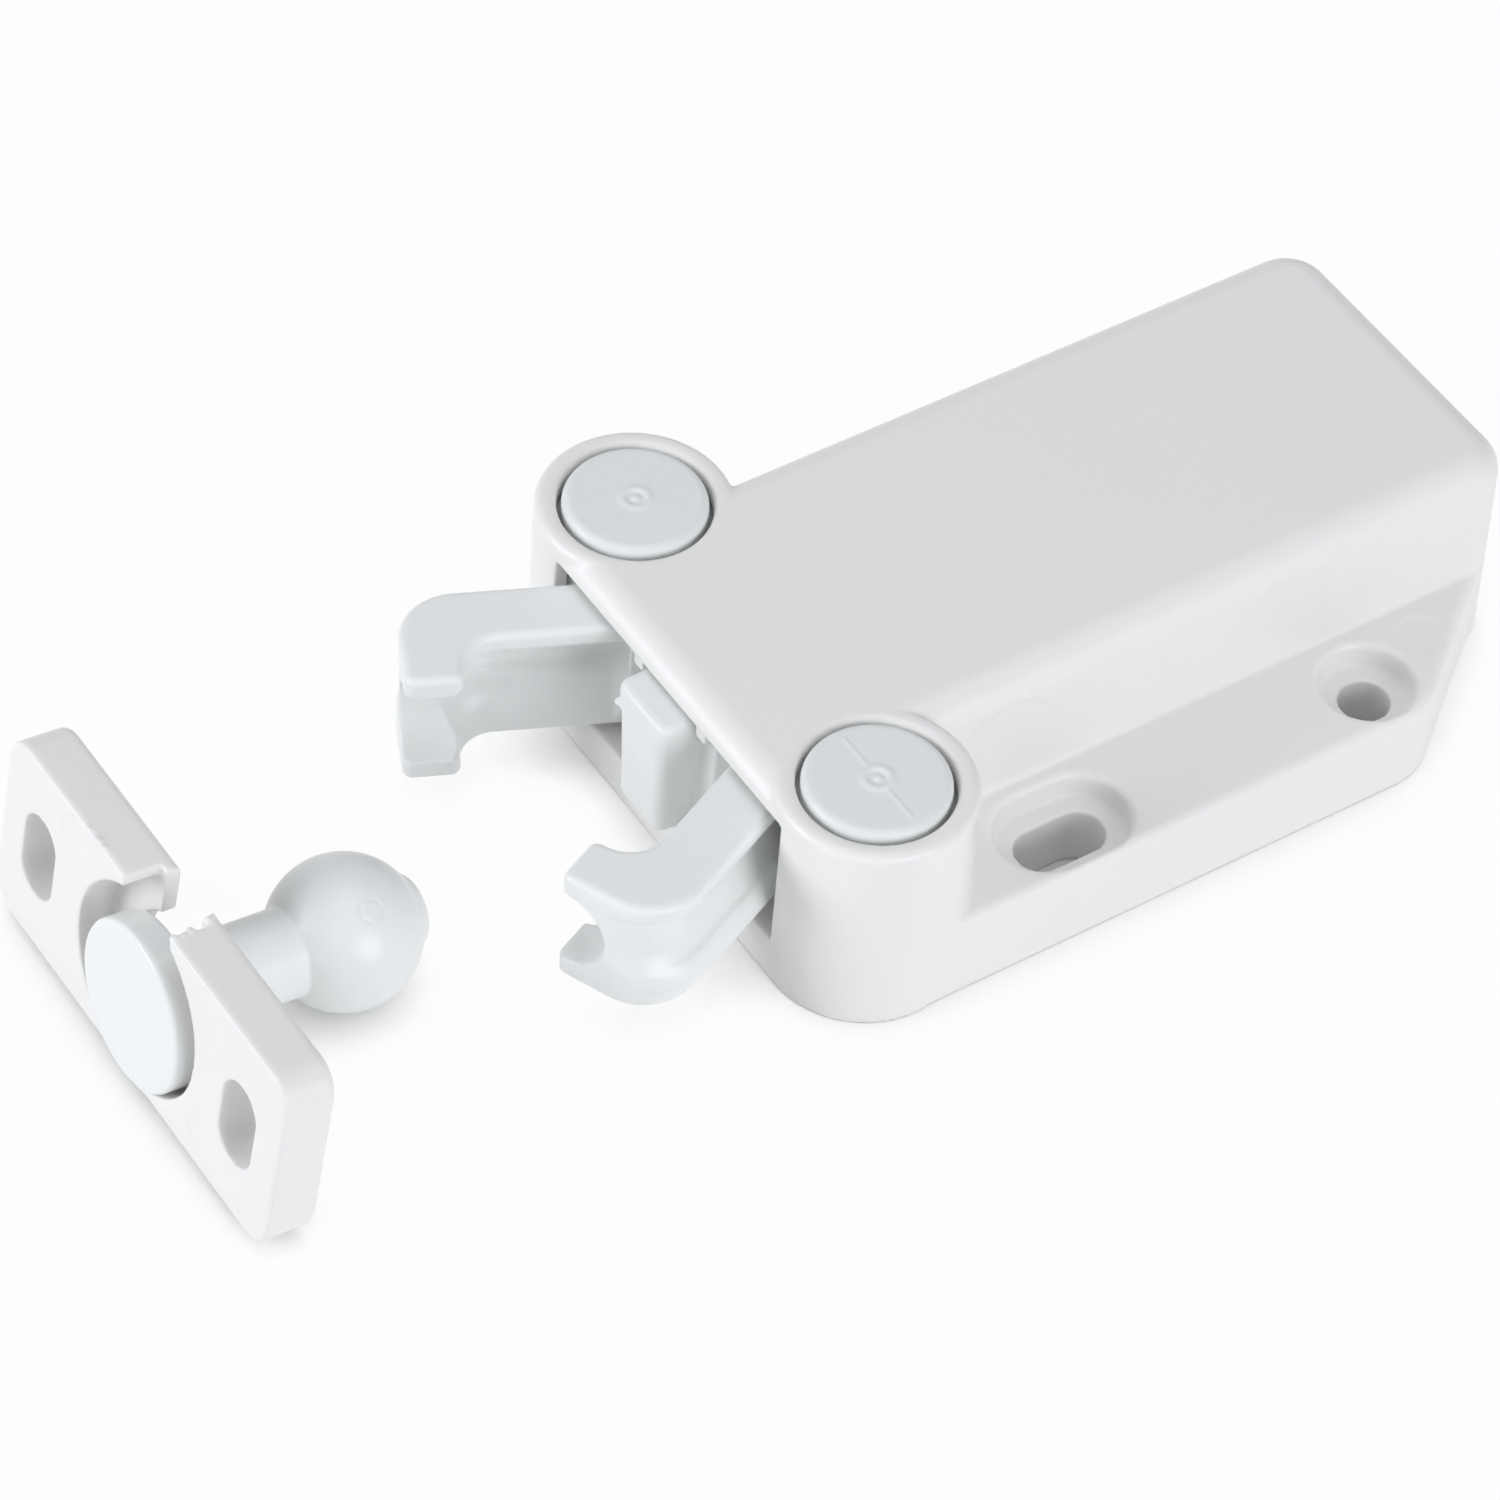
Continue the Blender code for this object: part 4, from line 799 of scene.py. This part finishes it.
world = bpy.data.worlds.new("white room")
scene.world = world
world.use_nodes = True
nodes = world.node_tree.nodes
link = world.node_tree.links.new
room = nodes["Background"]
room.inputs["Color"].default_value = (*daylight, 1)
room.inputs["Strength"].default_value = 0.36
backdrop = nodes.new("ShaderNodeBackground")
backdrop.inputs["Color"].default_value = (1, 1, 1, 1)
choose = nodes.new("ShaderNodeMixShader")
link(seenDirectly(world.node_tree), choose.inputs["Fac"])
link(room.outputs["Background"], choose.inputs[1])
link(backdrop.outputs["Background"], choose.inputs[2])
link(choose.outputs["Shader"], nodes["World Output"].inputs["Surface"])

bm = bmesh.new()
bmesh.ops.create_grid(bm, x_segments=2, y_segments=2, size=2.0)
bmesh.ops.translate(bm, vec=(0, 0, -0.00005), verts=bm.verts[:])
floorMesh = bpy.data.meshes.new("floor")
bm.to_mesh(floorMesh)
bm.free()
floor = bpy.data.objects.new("floor", floorMesh)
scene.collection.objects.link(floor)
paper = bpy.data.materials.new("white paper")
paper.use_nodes = True
nodes = paper.node_tree.nodes
link = paper.node_tree.links.new
matte = nodes["Principled BSDF"]
matte.inputs["Base Color"].default_value = (0.92, 0.92, 0.92, 1)
matte.inputs["Roughness"].default_value = 0.9
glow = nodes.new("ShaderNodeEmission")
glow.inputs["Color"].default_value = (1, 1, 1, 1)
openness = nodes.new("ShaderNodeAmbientOcclusion")  # the paper stays dark close under the latch
openness.inputs["Distance"].default_value = 0.006
share = nodes.new("ShaderNodeMapRange")
share.inputs["From Min"].default_value = 0.25
share.inputs["From Max"].default_value = 0.7
share.inputs["To Max"].default_value = 0.95
link(openness.outputs["AO"], share.inputs["Value"])
lit = nodes.new("ShaderNodeMath")
lit.operation = "MULTIPLY"
link(share.outputs["Result"], lit.inputs[0])
link(seenDirectly(paper.node_tree), lit.inputs[1])
blend = nodes.new("ShaderNodeMixShader")
link(lit.outputs["Value"], blend.inputs["Fac"])
link(matte.outputs["BSDF"], blend.inputs[1])
link(glow.outputs["Emission"], blend.inputs[2])
link(blend.outputs["Shader"], nodes["Material Output"].inputs["Surface"])
floorMesh.materials.append(paper)

camera = bpy.data.cameras.new("camera")
camera.lens = 148.7
camera.sensor_width = 36
camera.clip_start = 0.02
eye = bpy.data.objects.new("camera", camera)
eye.matrix_world = Matrix((
    (0.5457862, -0.64180414, 0.53870666, 0.22006),
    (0.8357637, 0.37082345, -0.40495557, -0.16495),
    (0.0601371, 0.67125063, 0.73878693, 0.30675),
    (0, 0, 0, 1)))
scene.collection.objects.link(eye)
scene.camera = eye
scene.view_settings.view_transform = "Standard"
print("studio set")
